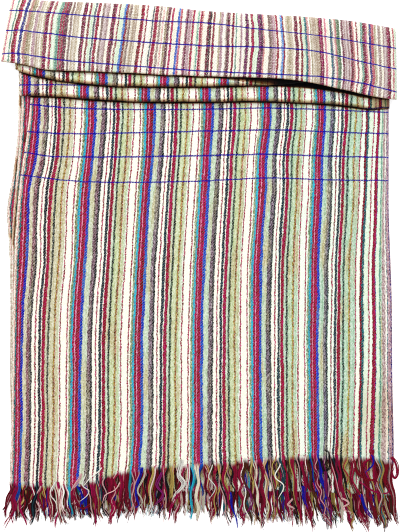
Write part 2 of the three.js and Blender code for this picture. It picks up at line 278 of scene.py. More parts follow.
flapChart = readChart(
    "cream 2, rose 2, cream 5, paleTeal 2, cream 2, crimson 6, cream 3, indigo 4, cream 2, "
    "pinkSpeck 4, khaki 6, cream 2, paleMauve 4, sandSpeck 6, cream 2, khaki 3, maroon 5, cream 3, "
    "dash 3, mint 6, paleTeal 4, crimson 2, brownSpeck 2, crimson 2, wineSpeck 5, cream 2, "
    "brownSpeck 4, cream 1, sandSpeck 8, cream 4, maroon 5, cream 3, dash 3, mint 5, slate 3, "
    "cream 1, crimson 4, cream 3, brownSpeck 3, pinkGrey 7, cream 4, maroon 6, cream 3, dash 2, "
    "mint 6, sky 3, crimson 3, sandSpeck 2, brownSpeck 3, cream 1, sandSpeck 8, cream 4, crimson 5, "
    "cream 3, crimson 2, cream 7, slate 2, cream 1, crimson 5, cream 2, brownSpeck 3, cream 2, "
    "rosy 2, cream 2, khaki 3, wineSpeck 4, cream 2, crimson 3, cream 6, blue 3, rose 3, cream 5, "
    "wineSpeck 4, paleMauve 5, cream 1, crimson 3, cream 4, mint 1, paleTeal 2, cream 1, crimson 3, "
    "rosy 2, cream 6, maroon 3, blackBrown 2, maroon 1, cream 2, crimson 3, cream 6, khaki 2, "
    "paleMauve 4, cream 4, brownSpeck 2, wineSpeck 4, cream 3, crimson 3, cream 2, paleTeal 2, "
    "cream 5, paleMauve 3, cream 4, plum 4, brownSpeck 1, cream 3, crimson 4, mint 6, plum 7, "
    "rosy 2, cream 6, brownSpeck 4, pinkGrey 2, paleMauve 4, cream 1, crimson 3, cream 4, sky 3, "
    "crimson 2, cream 3, sandSpeck 3, khaki 2, sandSpeck 4, cream 3, maroon 5, cream 3, crimson 3, "
    "mint 4, teal 3, pinkSpeck 3, cream 2, khaki 2, sandSpeck 10, maroon 6, cream 2, rose 3, "
    "cream 5, teal 2, mauve 2, cream 2, pinkSpeck 3, sageMint 5, cream 2, wineSpeck 3, pinkGrey 9, "
    "maroon 4, rosy 2, cream 3, crimson 2, cream 4, paleTeal 3, maroon 5, rosy 2, cream 2, indigo 3, "
    "rose 4, khaki 4, cream 2, brownSpeck 4, cream 3, pinkGrey 6, maroon 5, cream 3, rose 2, mint 3"
)
flapEnds = sum(ends for name, ends in flapChart)
print("warping charts read:", repeatEnds, "ends a repeat,", flapEnds, "ends on the flap")


def plug(tree, socket, value):
    # a node's output is linked, and a number or a colour is set
    if isinstance(value, bpy.types.NodeSocket):
        tree.links.new(value, socket)
    else:
        socket.default_value = value


def calc(tree, kind, *values):
    node = tree.nodes.new("ShaderNodeMath")
    node.operation = kind
    for socket, value in zip(node.inputs, values):
        plug(tree, socket, value)
    return node.outputs[0]


def plus(tree, a, b):
    return calc(tree, "ADD", a, b)


def minus(tree, a, b):
    return calc(tree, "SUBTRACT", a, b)


def times(tree, a, b):
    return calc(tree, "MULTIPLY", a, b)


def above(tree, a, b):
    return calc(tree, "GREATER_THAN", a, b)


def below(tree, a, b):
    return calc(tree, "LESS_THAN", a, b)


def within(tree, a, every):
    # how far a is into its round of this many
    return calc(tree, "FLOORED_MODULO", a, every)


def spread(tree, value, low, high, toLow=0.0, toHigh=1.0):
    node = tree.nodes.new("ShaderNodeMapRange")
    for socket, number in zip(node.inputs, (value, low, high, toLow, toHigh)):
        plug(tree, socket, number)
    return node.outputs[0]


def tint(tree, share, first, second, how="MIX"):
    node = tree.nodes.new("ShaderNodeMix")
    node.data_type = "RGBA"
    node.blend_type = how
    plug(tree, node.inputs[0], share)
    plug(tree, node.inputs[6], first)
    plug(tree, node.inputs[7], second)
    return node.outputs[2]


def plain(name):
    # one dye on its own, as a colour socket takes it
    return (*linear(dye[name]), 1)


def grey(tree, value):
    node = tree.nodes.new("ShaderNodeCombineColor")
    for socket in node.inputs[:3]:
        plug(tree, socket, value)
    return node.outputs[0]


def spot(tree, x, y=0.0, z=0.0):
    node = tree.nodes.new("ShaderNodeCombineXYZ")
    for socket, value in zip(node.inputs, (x, y, z)):
        plug(tree, socket, value)
    return node.outputs[0]


def noise(tree, place, scale=1.0, detail=2.0, rough=0.5):
    node = tree.nodes.new("ShaderNodeTexNoise")
    plug(tree, node.inputs["Vector"], place)
    node.inputs["Scale"].default_value = scale
    node.inputs["Detail"].default_value = detail
    node.inputs["Roughness"].default_value = rough
    return node.outputs[0]


def chance(tree, place):
    # a random number from 0 to 1 at each place
    node = tree.nodes.new("ShaderNodeTexWhiteNoise")
    node.noise_dimensions = "2D"
    plug(tree, node.inputs["Vector"], place)
    return node.outputs[0]


def stripes(tree, place, chart, lot):
    # the chart's dyes over its own width, and how even each is. A ramp holds few stripes, so a long
    # chart takes several.
    most = 30
    colour, solid = None, None
    start = 0.0
    shown = {**dye, **otherLots.get(lot, {})}
    for first in range(0, len(chart), most):
        part = chart[first:first + most]
        width = sum(ends for name, ends in part)
        node = tree.nodes.new("ShaderNodeValToRGB")
        ramp = node.color_ramp
        ramp.interpolation = "CONSTANT"
        ramp.elements.remove(ramp.elements[-1])
        plug(tree, node.inputs[0], spread(tree, place, start, start + width))
        at = 0.0
        for k, (name, ends) in enumerate(part):
            stop = ramp.elements[0] if k == 0 else ramp.elements.new(at / width)
            stop.position = at / width
            evenness = next((share for names, share in unevenDyes if name in names), 1.0)
            stop.color = (*linear(shown[name]), evenness)
            at += ends
        if colour is None:
            colour, solid = node.outputs[0], node.outputs[1]
        else:
            further = above(tree, place, start)
            colour = tint(tree, further, colour, node.outputs[0])
            solid = spread(tree, further, 0, 1, solid, node.outputs[1])
        start += width
    return colour, solid


def deepen(tree, colour, power):
    node = tree.nodes.new("ShaderNodeGamma")
    plug(tree, node.inputs[0], colour)
    plug(tree, node.inputs[1], power)
    return node.outputs[0]


woolFinish = {"roughness": 0.88, "shine": 0.08, "sheen": 0.04, "sheenRoughness": 0.5}
noiseSpan = (0.3, 0.7)  # most of a noise lies between these


def startMaterial(name):
    material = bpy.data.materials.new(name)
    material.use_nodes = True
    tree = material.node_tree
    tree.nodes.clear()
    out = tree.nodes.new("ShaderNodeOutputMaterial")
    wool = tree.nodes.new("ShaderNodeBsdfPrincipled")
    tree.links.new(wool.outputs[0], out.inputs[0])
    wool.inputs["Roughness"].default_value = woolFinish["roughness"]
    wool.inputs["Specular IOR Level"].default_value = woolFinish["shine"]
    wool.inputs["Sheen Weight"].default_value = woolFinish["sheen"]
    wool.inputs["Sheen Roughness"].default_value = woolFinish["sheenRoughness"]
    return material, tree, wool


def readThreads(tree):
    uv = tree.nodes.new("ShaderNodeUVMap")
    uv.uv_map = "threads"
    parts = tree.nodes.new("ShaderNodeSeparateXYZ")
    tree.links.new(uv.outputs[0], parts.inputs[0])
    return parts.outputs[0], parts.outputs[1]


def emboss(tree, wool, height, strength, depth):
    bump = tree.nodes.new("ShaderNodeBump")
    bump.inputs["Strength"].default_value = strength
    bump.inputs["Distance"].default_value = depth * mm
    tree.links.new(height, bump.inputs["Height"])
    tree.links.new(bump.outputs[0], wool.inputs["Normal"])


weave = {
    "shafts": 4,  # the twill comes again after this many ends
    "weftFloat": {"face": 1, "reverse": 1.3},  # how many of those ends the weft passes over
    "endStep": {"face": 1, "reverse": 2},  # how many picks the float moves on at each end
    "weftShows": {"face": 0.25, "reverse": 0.46},  # how much of a cream pick shows between the ends
    "weftUneven": (0.2, 1.9),  # from its least share of that to its most
    "denseWeft": {"face": 0.6, "reverse": 0.9},  # the share of it that close yarns let show
    "denseFrom": 0.9,  # the evenness between which yarns are close ones
    "denseTo": 0.97,
    "lineEvery": 34,  # picks from one navy line to the next
    "lineFrom": -36,  # the first and last picks with such lines
    "lineTo": 104,
    "lineWidth": 2.3,  # a navy line is a thick pick, as wide as this many
    "lineUnder": 0.4,  # and goes under this many of every four ends
    "lineShows": 0.96,
    "lean": 1.2,  # how far threads wander, in ends
    "sag": 1.2,  # and in picks
    "ragged": 1.3,  # how far a stripe's edge strays, in ends
    "raggedLength": 1.7,  # and for how many picks at a time
    "dashEvery": 4.4,  # picks from one dash to the next
    "dashLength": 4.1,  # picks of dye in each, before the gap
    "dashStep": 2.7,  # how many picks the dashes move on at each end
    "dashGap": 0.8,  # how cream the gaps are
    "lots": {"left": (150, 30), "right": (330, 450)},  # ends between which the lots change
    "lotStray": 90,  # how far those places stray, in ends
    "oddLot": (0.5, 0.64),  # the noise between which the odd lot comes in
    "fleckLength": 2.1,  # picks
    "fleckPale": (0.4, 0.66),  # powers of the palest flecks, mixed wool first
    "fleckDeep": (2.0, 1.4),  # and of the deepest
    "fleckPower": {"face": 1.0, "reverse": 0.6},  # how strongly flecked the yarns are
    "slubDepth": (0.8, 1.25),
    # painted shade of fine crinkles: how much paler and deeper it makes the colour
    "crinkleDepth": (0.8, 1.35),
    "laneDepth": {"face": (0.84, 1.2), "reverse": (0.55, 1.6)},  # from the palest end to the deepest
    "veil": {"face": 0.0, "reverse": 0.04},  # how much pale fluff lies over everything
    "weftTone": (0.86, 1.02),
    "threadRound": 2.2,  # how square a thread is across, and each float along
    "warpRound": 4,
    "weftRound": 3,
    "lineCrown": 0.8,  # how high a navy pick stands
    "gapDepth": 1.1,  # how much deeper painted shade makes the colour between two threads
    # painted shade: how dark each thread is made at its edges
    "gapShade": 0.8,
    "bump": 0.35,
    "bumpDepth": 0.5,  # millimetres
    "weftSunk": 0.35,  # how much lower a pick lies than an end
}
# painted shade: how a crease darkens the cloth's colour, from its bottom to the open
paintedShadeRamp = (
    (0.0, (6, 2, 2)), (0.3, (40, 16, 8)), (0.55, (128, 84, 52)), (0.8, (222, 200, 172)),
    (1.0, (255, 255, 255)),
)


def paintedCreaseShade(tree):
    # painted shade: little light reaches into a crease, so its colour is darkened there
    paintedLightShare = tree.nodes.new("ShaderNodeAttribute")
    paintedLightShare.attribute_name = "paintedLightShare"
    shade = tree.nodes.new("ShaderNodeValToRGB")
    tree.links.new(paintedLightShare.outputs["Fac"], shade.inputs[0])
    stops = shade.color_ramp.elements
    stops.remove(stops[-1])
    for k, (at, shown) in enumerate(paintedShadeRamp):
        stop = stops[0] if k == 0 else stops.new(at)
        stop.color = (*linear(shown), 1)
    return shade.outputs[0]


def crest(tree, across, sharpness):
    # 1 along the middle of a thread, and 0 at its edges
    away = calc(tree, "ABSOLUTE", minus(tree, times(tree, across, 2), 1))
    return minus(tree, 1, calc(tree, "POWER", away, sharpness))


def clothMaterial(name, side):
    material, tree, wool = startMaterial(name)
    end, pick = readThreads(tree)

    def patches(endScale, pickScale, seed, detail=2):
        place = spot(tree, times(tree, end, endScale), times(tree, pick, pickScale), seed)
        return noise(tree, place, 1, detail)

    def pieces(length):
        # which piece of this many picks a place is in
        return calc(tree, "FLOOR", calc(tree, "DIVIDE", pick, length))

    # the threads wander a little
    sway = times(tree, minus(tree, patches(0.05, 0.06, 1.0, 4), 0.5), 2 * weave["lean"])
    rise = times(tree, minus(tree, patches(0.06, 0.04, 7.0, 3), 0.5), 2 * weave["sag"])
    end = plus(tree, end, sway)
    pick = plus(tree, pick, rise)
    endNumber = calc(tree, "FLOOR", end)
    pickNumber = calc(tree, "FLOOR", pick)
    # a stripe's edges are ragged, because its last ends are crossed by the next stripe's fibres
    ragged = chance(tree, spot(tree, endNumber, pieces(weave["raggedLength"])))
    ragged = times(tree, minus(tree, ragged, 0.5), weave["ragged"])
    endMiddle = plus(tree, calc(tree, "FLOOR", plus(tree, end, ragged)), 0.5)

    # which thread is on top: a twill, turned over on the navy lines
    passed = weave["weftFloat"][side]
    step = within(tree, plus(tree, times(tree, endNumber, weave["endStep"][side]), pick), weave["shafts"])
    navy = below(tree, within(tree, pick, weave["lineEvery"]), weave["lineWidth"])
    navy = times(tree, navy, above(tree, pick, weave["lineFrom"]))
    navy = times(tree, navy, below(tree, pick, weave["lineTo"]))
    weftUp = spread(tree, navy, 0, 1, below(tree, step, passed), above(tree, step, weave["lineUnder"]))

    # warp dyes, from the lots of yarn that the weaver had
    place = within(tree, minus(tree, endMiddle, borders["repeatStart"]), repeatEnds)

    def dyes(lot):
        if side == "reverse":
            return stripes(tree, endMiddle, flapChart, lot)
        colour, solid = stripes(tree, place, warpRepeat, lot)
        fromRight = minus(tree, endMiddle, borders["rightFrom"])
        atLeft = below(tree, endMiddle, borders["leftEnds"])
        atRight = above(tree, fromRight, 0)
        for chart, at, where in ((leftBorder, endMiddle, atLeft), (rightBorder, fromRight, atRight)):
            edgeColour, edgeSolid = stripes(tree, at, chart, lot)
            colour = tint(tree, where, colour, edgeColour)
            solid = spread(tree, where, 0, 1, solid, edgeSolid)
        return colour, solid

    warp, solid = dyes("main")
    lotEdge = plus(tree, end, times(tree, patches(0.05, 0.008, 3.0), weave["lotStray"]))
    for lot, (start, stop) in weave["lots"].items():
        share = spread(tree, lotEdge, start + weave["lotStray"] / 2, stop + weave["lotStray"] / 2)
        warp = tint(tree, share, warp, dyes(lot)[0])
    warp = tint(tree, spread(tree, patches(0.09, 0.011, 9.0), *weave["oddLot"]), warp, dyes("odd")[0])
    dashGap = plus(tree, times(tree, endNumber, weave["dashStep"]), plus(tree, pick, rise))
    dashGap = above(tree, within(tree, dashGap, weave["dashEvery"]), weave["dashLength"])
    dashGap = times(tree, dashGap, below(tree, solid, 0.25))  # only in the dashed dyes
    warp = tint(tree, times(tree, dashGap, weave["dashGap"]), warp, plain("cream"))

    # each yarn has its own depth of colour, uneven along it
    fleck = chance(tree, spot(tree, endNumber, pieces(weave["fleckLength"])))
    evenness = spread(tree, solid, 0.5, 1)
    palest = spread(tree, evenness, 0, 1, *weave["fleckPale"])
    deepest = spread(tree, evenness, 0, 1, *weave["fleckDeep"])
    power = calc(tree, "POWER", spread(tree, fleck, 0, 1, palest, deepest), weave["fleckPower"][side])
    slub = noise(tree, spot(tree, times(tree, endMiddle, 0.6), times(tree, pick, 0.09)), 1, 3)
    power = times(tree, power, spread(tree, slub, *noiseSpan, *weave["slubDepth"]))
    # painted shade of fine crinkles, in small random patches of deeper and paler colour
    crinkleShade = patches(0.3, 0.75, 5.0)
    power = times(tree, power, spread(tree, crinkleShade, *noiseSpan, *weave["crinkleDepth"]))
    lane = chance(tree, spot(tree, endNumber, 0.0, 8.0))
    power = times(tree, power, spread(tree, lane, 0, 1, *weave["laneDepth"][side]))
    warp = tint(tree, weave["veil"][side], deepen(tree, warp, power), plain("fluff"))

    weftTone = noise(tree, spot(tree, times(tree, end, 0.03), pickNumber), 1, 2)
    weftTone = grey(tree, spread(tree, weftTone, *noiseSpan, *weave["weftTone"]))
    weft = tint(tree, 1.0, plain("cream"), weftTone, "MULTIPLY")
    weft = tint(tree, navy, weft, plain("navy"))
    least, most = (share * weave["weftShows"][side] for share in weave["weftUneven"])
    uneven = spread(tree, fleck, 0, 1, least, most)
    closeYarn = times(tree, above(tree, solid, weave["denseFrom"]), below(tree, solid, weave["denseTo"]))
    uneven = times(tree, uneven, spread(tree, closeYarn, 0, 1, 1, weave["denseWeft"][side]))
    shows = spread(tree, navy, 0, 1, uneven, weave["lineShows"])
    colour = tint(tree, times(tree, weftUp, shows), warp, weft)

    # threads are round and dive under each other; painted shade deepens and darkens their colour in the
    # gaps, and the same crowns make the bump
    alongWarp = spread(tree, step, passed, weave["shafts"])
    alongWeft = calc(tree, "DIVIDE", within(tree, plus(tree, end, pickNumber), weave["shafts"]), passed)
    acrossWarp = crest(tree, calc(tree, "FRACT", end), weave["threadRound"])
    acrossWeft = crest(tree, calc(tree, "FRACT", pick), weave["threadRound"])
    warpCrown = times(tree, acrossWarp, crest(tree, alongWarp, weave["warpRound"]))
    weftCrown = times(tree, acrossWeft, crest(tree, alongWeft, weave["weftRound"]))
    crown = spread(tree, weftUp, 0, 1, warpCrown, weftCrown)
    crown = spread(tree, navy, 0, 1, crown, weave["lineCrown"])
    colour = deepen(tree, colour, spread(tree, crown, 0, 0.8, 1 + weave["gapDepth"], 1.0))
    shade = grey(tree, spread(tree, crown, 0, 0.7, weave["gapShade"], 1.0))
    colour = tint(tree, 1.0, colour, shade, "MULTIPLY")
    # painted shade in creases and under overhangs
    colour = tint(tree, 1.0, colour, paintedCreaseShade(tree), "MULTIPLY")
    tree.links.new(colour, wool.inputs["Base Color"])
    height = plus(tree, crown, times(tree, weftUp, -weave["weftSunk"]))
    emboss(tree, wool, height, weave["bump"], weave["bumpDepth"])
    return material


looseLook = {
    "twist": 2.2,  # turns of the yarn in a millimetre
    "plyShade": (0.74, 1.06),  # painted shade, from between the two plies to the top of each
    "fibreShade": (-0.12, 0.12),
    "bump": 0.6,
    "bumpDepth": 0.3,  # millimetres
}


def yarnMaterial(name):
    # loose yarn takes its colour from each tube, with two plies twisted round each other and painted
    # shade between them
    material, tree, wool = startMaterial(name)
    colour = tree.nodes.new("ShaderNodeAttribute")
    colour.attribute_name = "dye"
    along, around = readThreads(tree)
    twist = plus(tree, times(tree, along, looseLook["twist"]), around)
    ply = calc(tree, "PINGPONG", times(tree, twist, 2), 1)
    fibre = noise(tree, spot(tree, times(tree, along, 0.8), twist), 1, 4, 0.6)
    plyShade = spread(tree, ply, 0, 1, *looseLook["plyShade"])
    # painted shade between the plies, with random fibre tone
    light = plus(tree, plyShade, spread(tree, fibre, *noiseSpan, *looseLook["fibreShade"]))
    shown = tint(tree, 1.0, colour.outputs[0], grey(tree, light), "MULTIPLY")
    tree.links.new(shown, wool.inputs["Base Color"])
    emboss(tree, wool, ply, looseLook["bump"], looseLook["bumpDepth"])
    return material


faceCloth = clothMaterial("face-twill", "face")
reverseCloth = clothMaterial("reverse-twill", "reverse")
looseYarn = yarnMaterial("loose-yarn")
print("materials made")


# where the cloth's two edges and its woven ends lie on the plan. The left edge of each layer shows
# beside the one above it
sideEdges = table(
    "y left middle lowest right underRight",
    (-366, -305, -301, -303, 310, 307), (-278, -303, -301, -303, 310, 308),
    (-182, -301, -303, -304, 308, 305), (-54, -299, -302, -304, 307, 304),
    (30, -297, -302, -306, 304, 302), (90, -293, -299, -309, 302, 300),
    (147, -287, -294, -300, 302, 299), (214, -277, -288, -292, 302, 299),
    (262, -272, -286, -291, 302, 299), (400, -270, -286, -290, 302, 299),
)
wovenEnds = table(
    "x front under",
    (-305, -349, -361), (-245, -353, -361), (-187, -351, -361), (-155, -340, -361), (-75, -325, -361),
    (48, -315, -361), (184, -306, -362), (255, -307, -365), (310, -313, -368),
)
# where eight ends of the warp run: the blue stripe of each repeat, and two crimson stripes at the right
warpLines = {
    "ends": (13.75, 100.5, 188.5, 276.5, 364.5, 452.5, 486.5, 538),
    "y": (-334, -278, -118, -54, 10, 122, 170, 234),
    "x": (  # of all eight, for each y
        (-290, -196.5, -98, 2.5, 100, 188, 216.5, 274),
        (-288, -193.5, -94.5, 1.6, 97, 188.8, 219.5, 274),
        (-287, -192, -93, 2.4, 96, 187.2, 221.5, 278),
        (-284, -189, -91, 4, 96, 188.8, 222, 277),
        (-279, -184, -88, 6.4, 97.6, 188.8, 223, 277),
        (-275, -178.4, -80.8, 12.8, 104.8, 193.6, 229, 282),
        (-265, -173, -77, 16, 106, 195, 229, 283),
        (-259, -168, -73.6, 20, 112.8, 200, 234, 286),
    ),
}
# the navy picks of the front panel, from left to right across it
navyRows = {
    "x": (-285, -240, -200, -130, 0, 110, 208, 300),
    "y": (
        (262, 257, 254, 252, 252, 254, 251, 247),
        (217, 214, 213, 214, 217, 219, 216, 213),
        (184, 177, 176, 176, 178, 180, 177, 175),
        (147, 141, 137, 135, 137, 142, 139, 138),
    ),
}


def sideAt(name, y):
    return smoothRead(sideEdges["y"], sideEdges[name], y)


def endAt(name, x):
    return readAt(wovenEnds, name, x)


def warpAt(ends, y):
    # x of each end at y: between the two edges, through the warp lines
    knots = np.array([0, *warpLines["ends"], plan["endsAcross"]], float)
    shape = np.broadcast(ends, y).shape
    y = np.broadcast_to(y, shape)
    lines = [sideAt("left", y)]
    for k in range(len(warpLines["ends"])):
        lines.append(smoothRead(warpLines["y"], [row[k] for row in warpLines["x"]], y))
    lines.append(sideAt("right", y))
    lines = np.stack(lines)
    ends = np.broadcast_to(ends, shape)
    i = np.clip(np.searchsorted(knots, ends, side="right") - 1, 0, len(knots) - 2)
    t = (ends - knots[i]) / (knots[i + 1] - knots[i])
    a = np.take_along_axis(lines, i[None], 0)[0]
    b = np.take_along_axis(lines, i[None] + 1, 0)[0]
    return mix(a, b, t)


def pickAt(x, y):
    # the pick that lies at a place on the front panel
    levels = np.stack([smoothRead(navyRows["x"], row, x) for row in navyRows["y"]])
    every = weave["lineEvery"]
    picks = (levels[0] - y) / plan["pickPitch"]
    for k in range(len(levels) - 1):
        t = (levels[k] - y) / (levels[k] - levels[k + 1])
        picks = np.where(t > 0, every * (k + t), picks)
    straight = mix(levels[-1], levels[-1].mean(), ease(0, 200, levels[-1] - y))
    further = every * (len(levels) - 1) + (straight - y) / plan["pickPitch"]
    return np.where(y < levels[-1], further, picks)


stack = {
    "clothThickness": 1.8,
    "lowestMiddle": 0.95,  # heights of the middle of each layer
    "middleMiddle": 3.2,
    "panelMiddle": 5.9,  # where it lies flat
    "backTuck": 26,  # how far in front of the flap's back the layers end
}
# the flap's far edge, its lip, and how high it is at its highest and at the lip
flapRows = table(
    "x back lip crest lipTop",
    (-309, 426, 326, 31, 28), (-275, 425, 321, 33, 28.5), (-240, 423, 313, 33, 28.5),
    (-160, 420, 310, 33, 28), (-80, 416, 306, 33, 28), (0, 408, 302, 32, 28), (80, 403, 300, 33, 28),
    (160, 399, 295, 33, 28), (240, 392, 278, 32, 27), (290, 384, 268, 29, 23), (313, 380, 266, 25, 19),
)


def farAt(x):
    # where the layers inside the fold end
    return readAt(flapRows, "back", x) - stack["backTuck"] - 2


underCloth = {
    "columns": 120,
    "rows": 120,
    "firstPick": 300.0,  # the pick that lies at firstY
    "firstY": 340,
    "edgeShade": 2.6,  # how wide a painted shadow the layer above throws
    "fringeShade": 60,  # and how wide a one the fringe does
    "wave": 0.12,
}


def makeUnderCloth(name, leftName, aboveName, height):
    u = np.linspace(0, 1, underCloth["columns"])[None, :]
    v = np.linspace(1, 0, underCloth["rows"])[:, None]
    x = mix(-300, 300, u) + 0 * v
    for _ in range(4):  # x and y depend on each other, so they are found by turns
        y = mix(endAt("under", x), farAt(x), v)
        x = mix(sideAt(leftName, y), sideAt("underRight", y), u)
    z = height + underCloth["wave"] * softNoise(x, y, 21, 30)
    ends = u * plan["endsAcross"] + 0 * y
    picks = underCloth["firstPick"] + (underCloth["firstY"] - y) / plan["pickPitch"]
    front, edge = endAt("front", x), sideAt(aboveName, y)
    # painted shadow beside the layer above, and in front, under the fringe
    besideAbove = 0.3 + (edge - x) / underCloth["edgeShade"]
    belowFringe = 0.5 + (front - y) / underCloth["fringeShade"]
    paintedLightShare = np.where(y < front, belowFringe, np.where(x < edge, besideAbove, 1.0))
    return layCloth(name, np.stack([x, y, z], -1), ends, picks, faceCloth, paintedLightShare)


lowestCloth = makeUnderCloth("lowestCloth", "lowest", "middle", stack["lowestMiddle"])
middleCloth = makeUnderCloth("middleCloth", "middle", "left", stack["middleMiddle"])
print("under layers laid")


def alongProfile(controls, steps):
    # a smooth profile for each column through its control places (columns, places, 2)
    middle = controls[controls.shape[0] // 2]
    chord = np.linalg.norm(np.diff(middle, axis=0), axis=1) ** 0.5
    knots = np.concatenate([[0], np.cumsum(chord)])
    at = [np.linspace(knots[k], knots[k + 1], steps[k], endpoint=False) for k in range(len(steps))]
    at = np.concatenate([*at, [knots[-1]]])
    y = np.stack([smoothRead(knots, c[:, 0], at) for c in controls], 1)
    z = np.stack([smoothRead(knots, c[:, 1], at) for c in controls], 1)
    return y, z


def clothLength(y, z):
    step = np.hypot(np.diff(y, axis=0), np.diff(z, axis=0))
    return np.concatenate([np.zeros((1, y.shape[1])), np.cumsum(step, axis=0)])


lowerFold = {
    "columns": 200,
    "farEnd": 350,  # it ends here, deep under the flap
    "rows": table(
        "x edge bulge base",
        (-289, 272.5, 7.4, 7.4), (-282, 272, 8, 7.4), (-224, 270, 9.5, 7.4), (-160, 265, 10.5, 7.4),
        (-80, 262, 11, 7.4), (0, 262, 11, 7.4), (90, 263, 11, 7.4), (160, 261, 10.5, 7.4),
        (208, 258, 9.5, 7.4), (245, 254, 8, 7.4), (275, 250, 5.4, 7.4), (288, 251, 3.6, 7.4),
        (303, 252, 3, 7.2),
    ),
    "warpX": (-289, -274, -180, -82, 15, 107, 198, 278, 303),
    "warpEnds": (0, 13.75, 100.5, 188.5, 276.5, 364.5, 452.5, 527, 556),
    "navyLine": (68, 291),  # this pick lies at this y
    # how wide a painted shadow its edge throws on the panel, at places from left to right
    "shadow": ((-289, 200, 262, 282, 303), (3.2, 3.2, 2.8, 1.6, 0.6)),
}
upperFold = {
    "columns": 190,
    "farEnd": 372,
    "rows": table(
        "x edge bulge base",
        (-295, 314, 5.6, 13.1), (-280, 307.5, 6, 13.1), (-224, 296, 8, 13.1), (-157, 288, 9, 13.1),
        (-80, 286, 9, 13.1), (0, 286, 9, 13.1), (90, 288, 8.6, 13.1), (150, 291, 6.6, 13.1),
        (205, 300, 4.8, 13.1),
    ),
    "warpX": (-306, -250, -150, -52, 44, 140, 205),
    "warpEnds": (50, 100.5, 188.5, 276.5, 364.5, 452.5, 512),
    "navyLine": (400, 330),
}
foldShape = {
    "leafGap": 0.8,  # between the two leaves of a fold
    "wall": 2.0,  # how thick its solid is
    "bulgeReach": 24,  # how far in from its edge a full bulge runs
    "fullBulge": 11,
    "wander": ((0.7, 26), (0.35, 9)),  # how far its edge strays, and over what length
    "puff": 0.4,
    "topRows": 28,  # the rows of the upper leaf, from its far end
    "noseRow": 40,  # from this row on the cloth is in the lower leaf, which is painted dark
    "rimShade": 12.0,  # how far in from its edge painted shade darkens the rounded rim
    "rimCover": 0.46,  # and how dark that painted shade is at the edge
    "leftLight": 0.35,  # painted light: the pointed left ends are lightened, as they catch more light
}


def foldEdgeAt(fold, x):
    return readAt(fold["rows"], "edge", x)


def lipAt(x):
    return readAt(flapRows, "lip", x)


# where the painted shade under the flap's lip begins on each fold: straight under the lip on the left,
# and well in front of it on the right, where the lip stands high
lipShade = {
    "corner": 0.34,  # how dark the painted shade on the lower fold's right corner is
    "edge": 3.2,  # how wide the change to the painted dark is on the lower fold
    "upperFold": {"x": (-306, 30, 70, 110, 135, 165), "reach": (0, 0, 0, 1, 6, 30),
                  "soft": (3.4, 3.4, 8, 14, 18, 20)},
    "lowerFold": {"x": (90, 125, 160, 192, 232, 264, 285, 303),
                  "line": (288, 288.5, 287, 283.5, 277.5, 270.5, 269, 268)},
}


def makeSoftFold(name, fold, seed, paintedShadeAt):
    rows = fold["rows"]
    x = np.linspace(rows["x"][0], rows["x"][-1], fold["columns"])
    edge, bulge, base = (readAt(rows, kind, x) for kind in ("edge", "bulge", "base"))
    for k, (stray, cell) in enumerate(foldShape["wander"]):
        edge = edge + stray * softNoise(x, 0 * x, seed + k, cell)
    wall = foldShape["wall"]
    low = base + wall / 2
    top = base + bulge - wall / 2
    leafTop = low + wall + foldShape["leafGap"]
    reach = foldShape["bulgeReach"] * bulge / foldShape["fullBulge"]
    far = 0 * x + fold["farEnd"]
    places = [
        (far, leafTop),
        (mix(edge + reach, far, 0.45), leafTop),
        (edge + reach, mix(leafTop, top, 0.12)),
        (edge + reach * 0.62, mix(leafTop, top, 0.78)),
        (edge + reach * 0.34, top),
        (edge + reach * 0.12, mix(low, top, 0.84)),
        (edge + wall / 2, mix(low, top, 0.5)),
        (edge + reach * 0.1, mix(low, top, 0.16)),
        (edge + reach * 0.32, low),
        (edge + reach, low),
        (far, low),
    ]
    controls = np.stack([np.stack(p, -1) for p in places], 1)
    y, z = alongProfile(controls, (8, 10, 8, 6, 5, 5, 5, 5, 5, 10))
    length = clothLength(y, z)
    across = x[None, :] + 0 * y
    puff = softNoise(across / 11, length / 30, seed + 2, 1.0) * foldShape["puff"]
    z = z + puff * ease(2.5, 8, z - low) * ease(0, 14, fold["farEnd"] - 20 - y)
    ends = np.interp(x, fold["warpX"], fold["warpEnds"])[None, :] + 0 * y
    navyPick, navyY = fold["navyLine"]
    shown = slice(0, foldShape["topRows"])
    atLine = np.array([np.interp(-navyY, -y[shown, c], length[shown, c]) for c in range(len(x))])
    picks = navyPick + (length - atLine[None, :]) / plan["pickPitch"]
    picks = picks + 0.8 * softNoise(across, 0 * y, seed + 3, 40)
    # painted light on the left ends, painted shade on the rim and under what hangs over, and the lower
    # leaf painted dark
    atLeft = foldShape["leftLight"] * ease(14, 0, across - x[0])
    rim = foldShape["rimCover"] + (y - edge[None, :]) / foldShape["rimShade"]
    paintedLightShare = np.minimum(paintedShadeAt(across, y), rim) + atLeft
    paintedLightShare = np.where(np.arange(len(y))[:, None] > foldShape["noseRow"], 0, paintedLightShare)
    return layCloth(name, np.stack([across, y, z], -1), ends, picks, faceCloth, paintedLightShare)


# painted shade on the upper fold, under the flap's lip
def paintedLipShadeOnUpperFold(x, y):
    shade = lipShade["upperFold"]
    reach = np.interp(x, shade["x"], shade["reach"])
    return (lipAt(x) - reach - y) / np.interp(x, shade["x"], shade["soft"])


# painted shade on the lower fold, under the upper fold's edge and the lip, and on its right corner
def paintedShadeOnLowerFold(x, y):
    shade = lipShade["lowerFold"]
    line = np.interp(x, shade["x"], shade["line"])
    line = np.where(x < shade["x"][0], foldEdgeAt(upperFold, x), line)
    corner = ease(264, 282, x) * ease(244, 252, y)
    return np.minimum(0.05 + (line - y) / lipShade["edge"], 1 - lipShade["corner"] * corner)


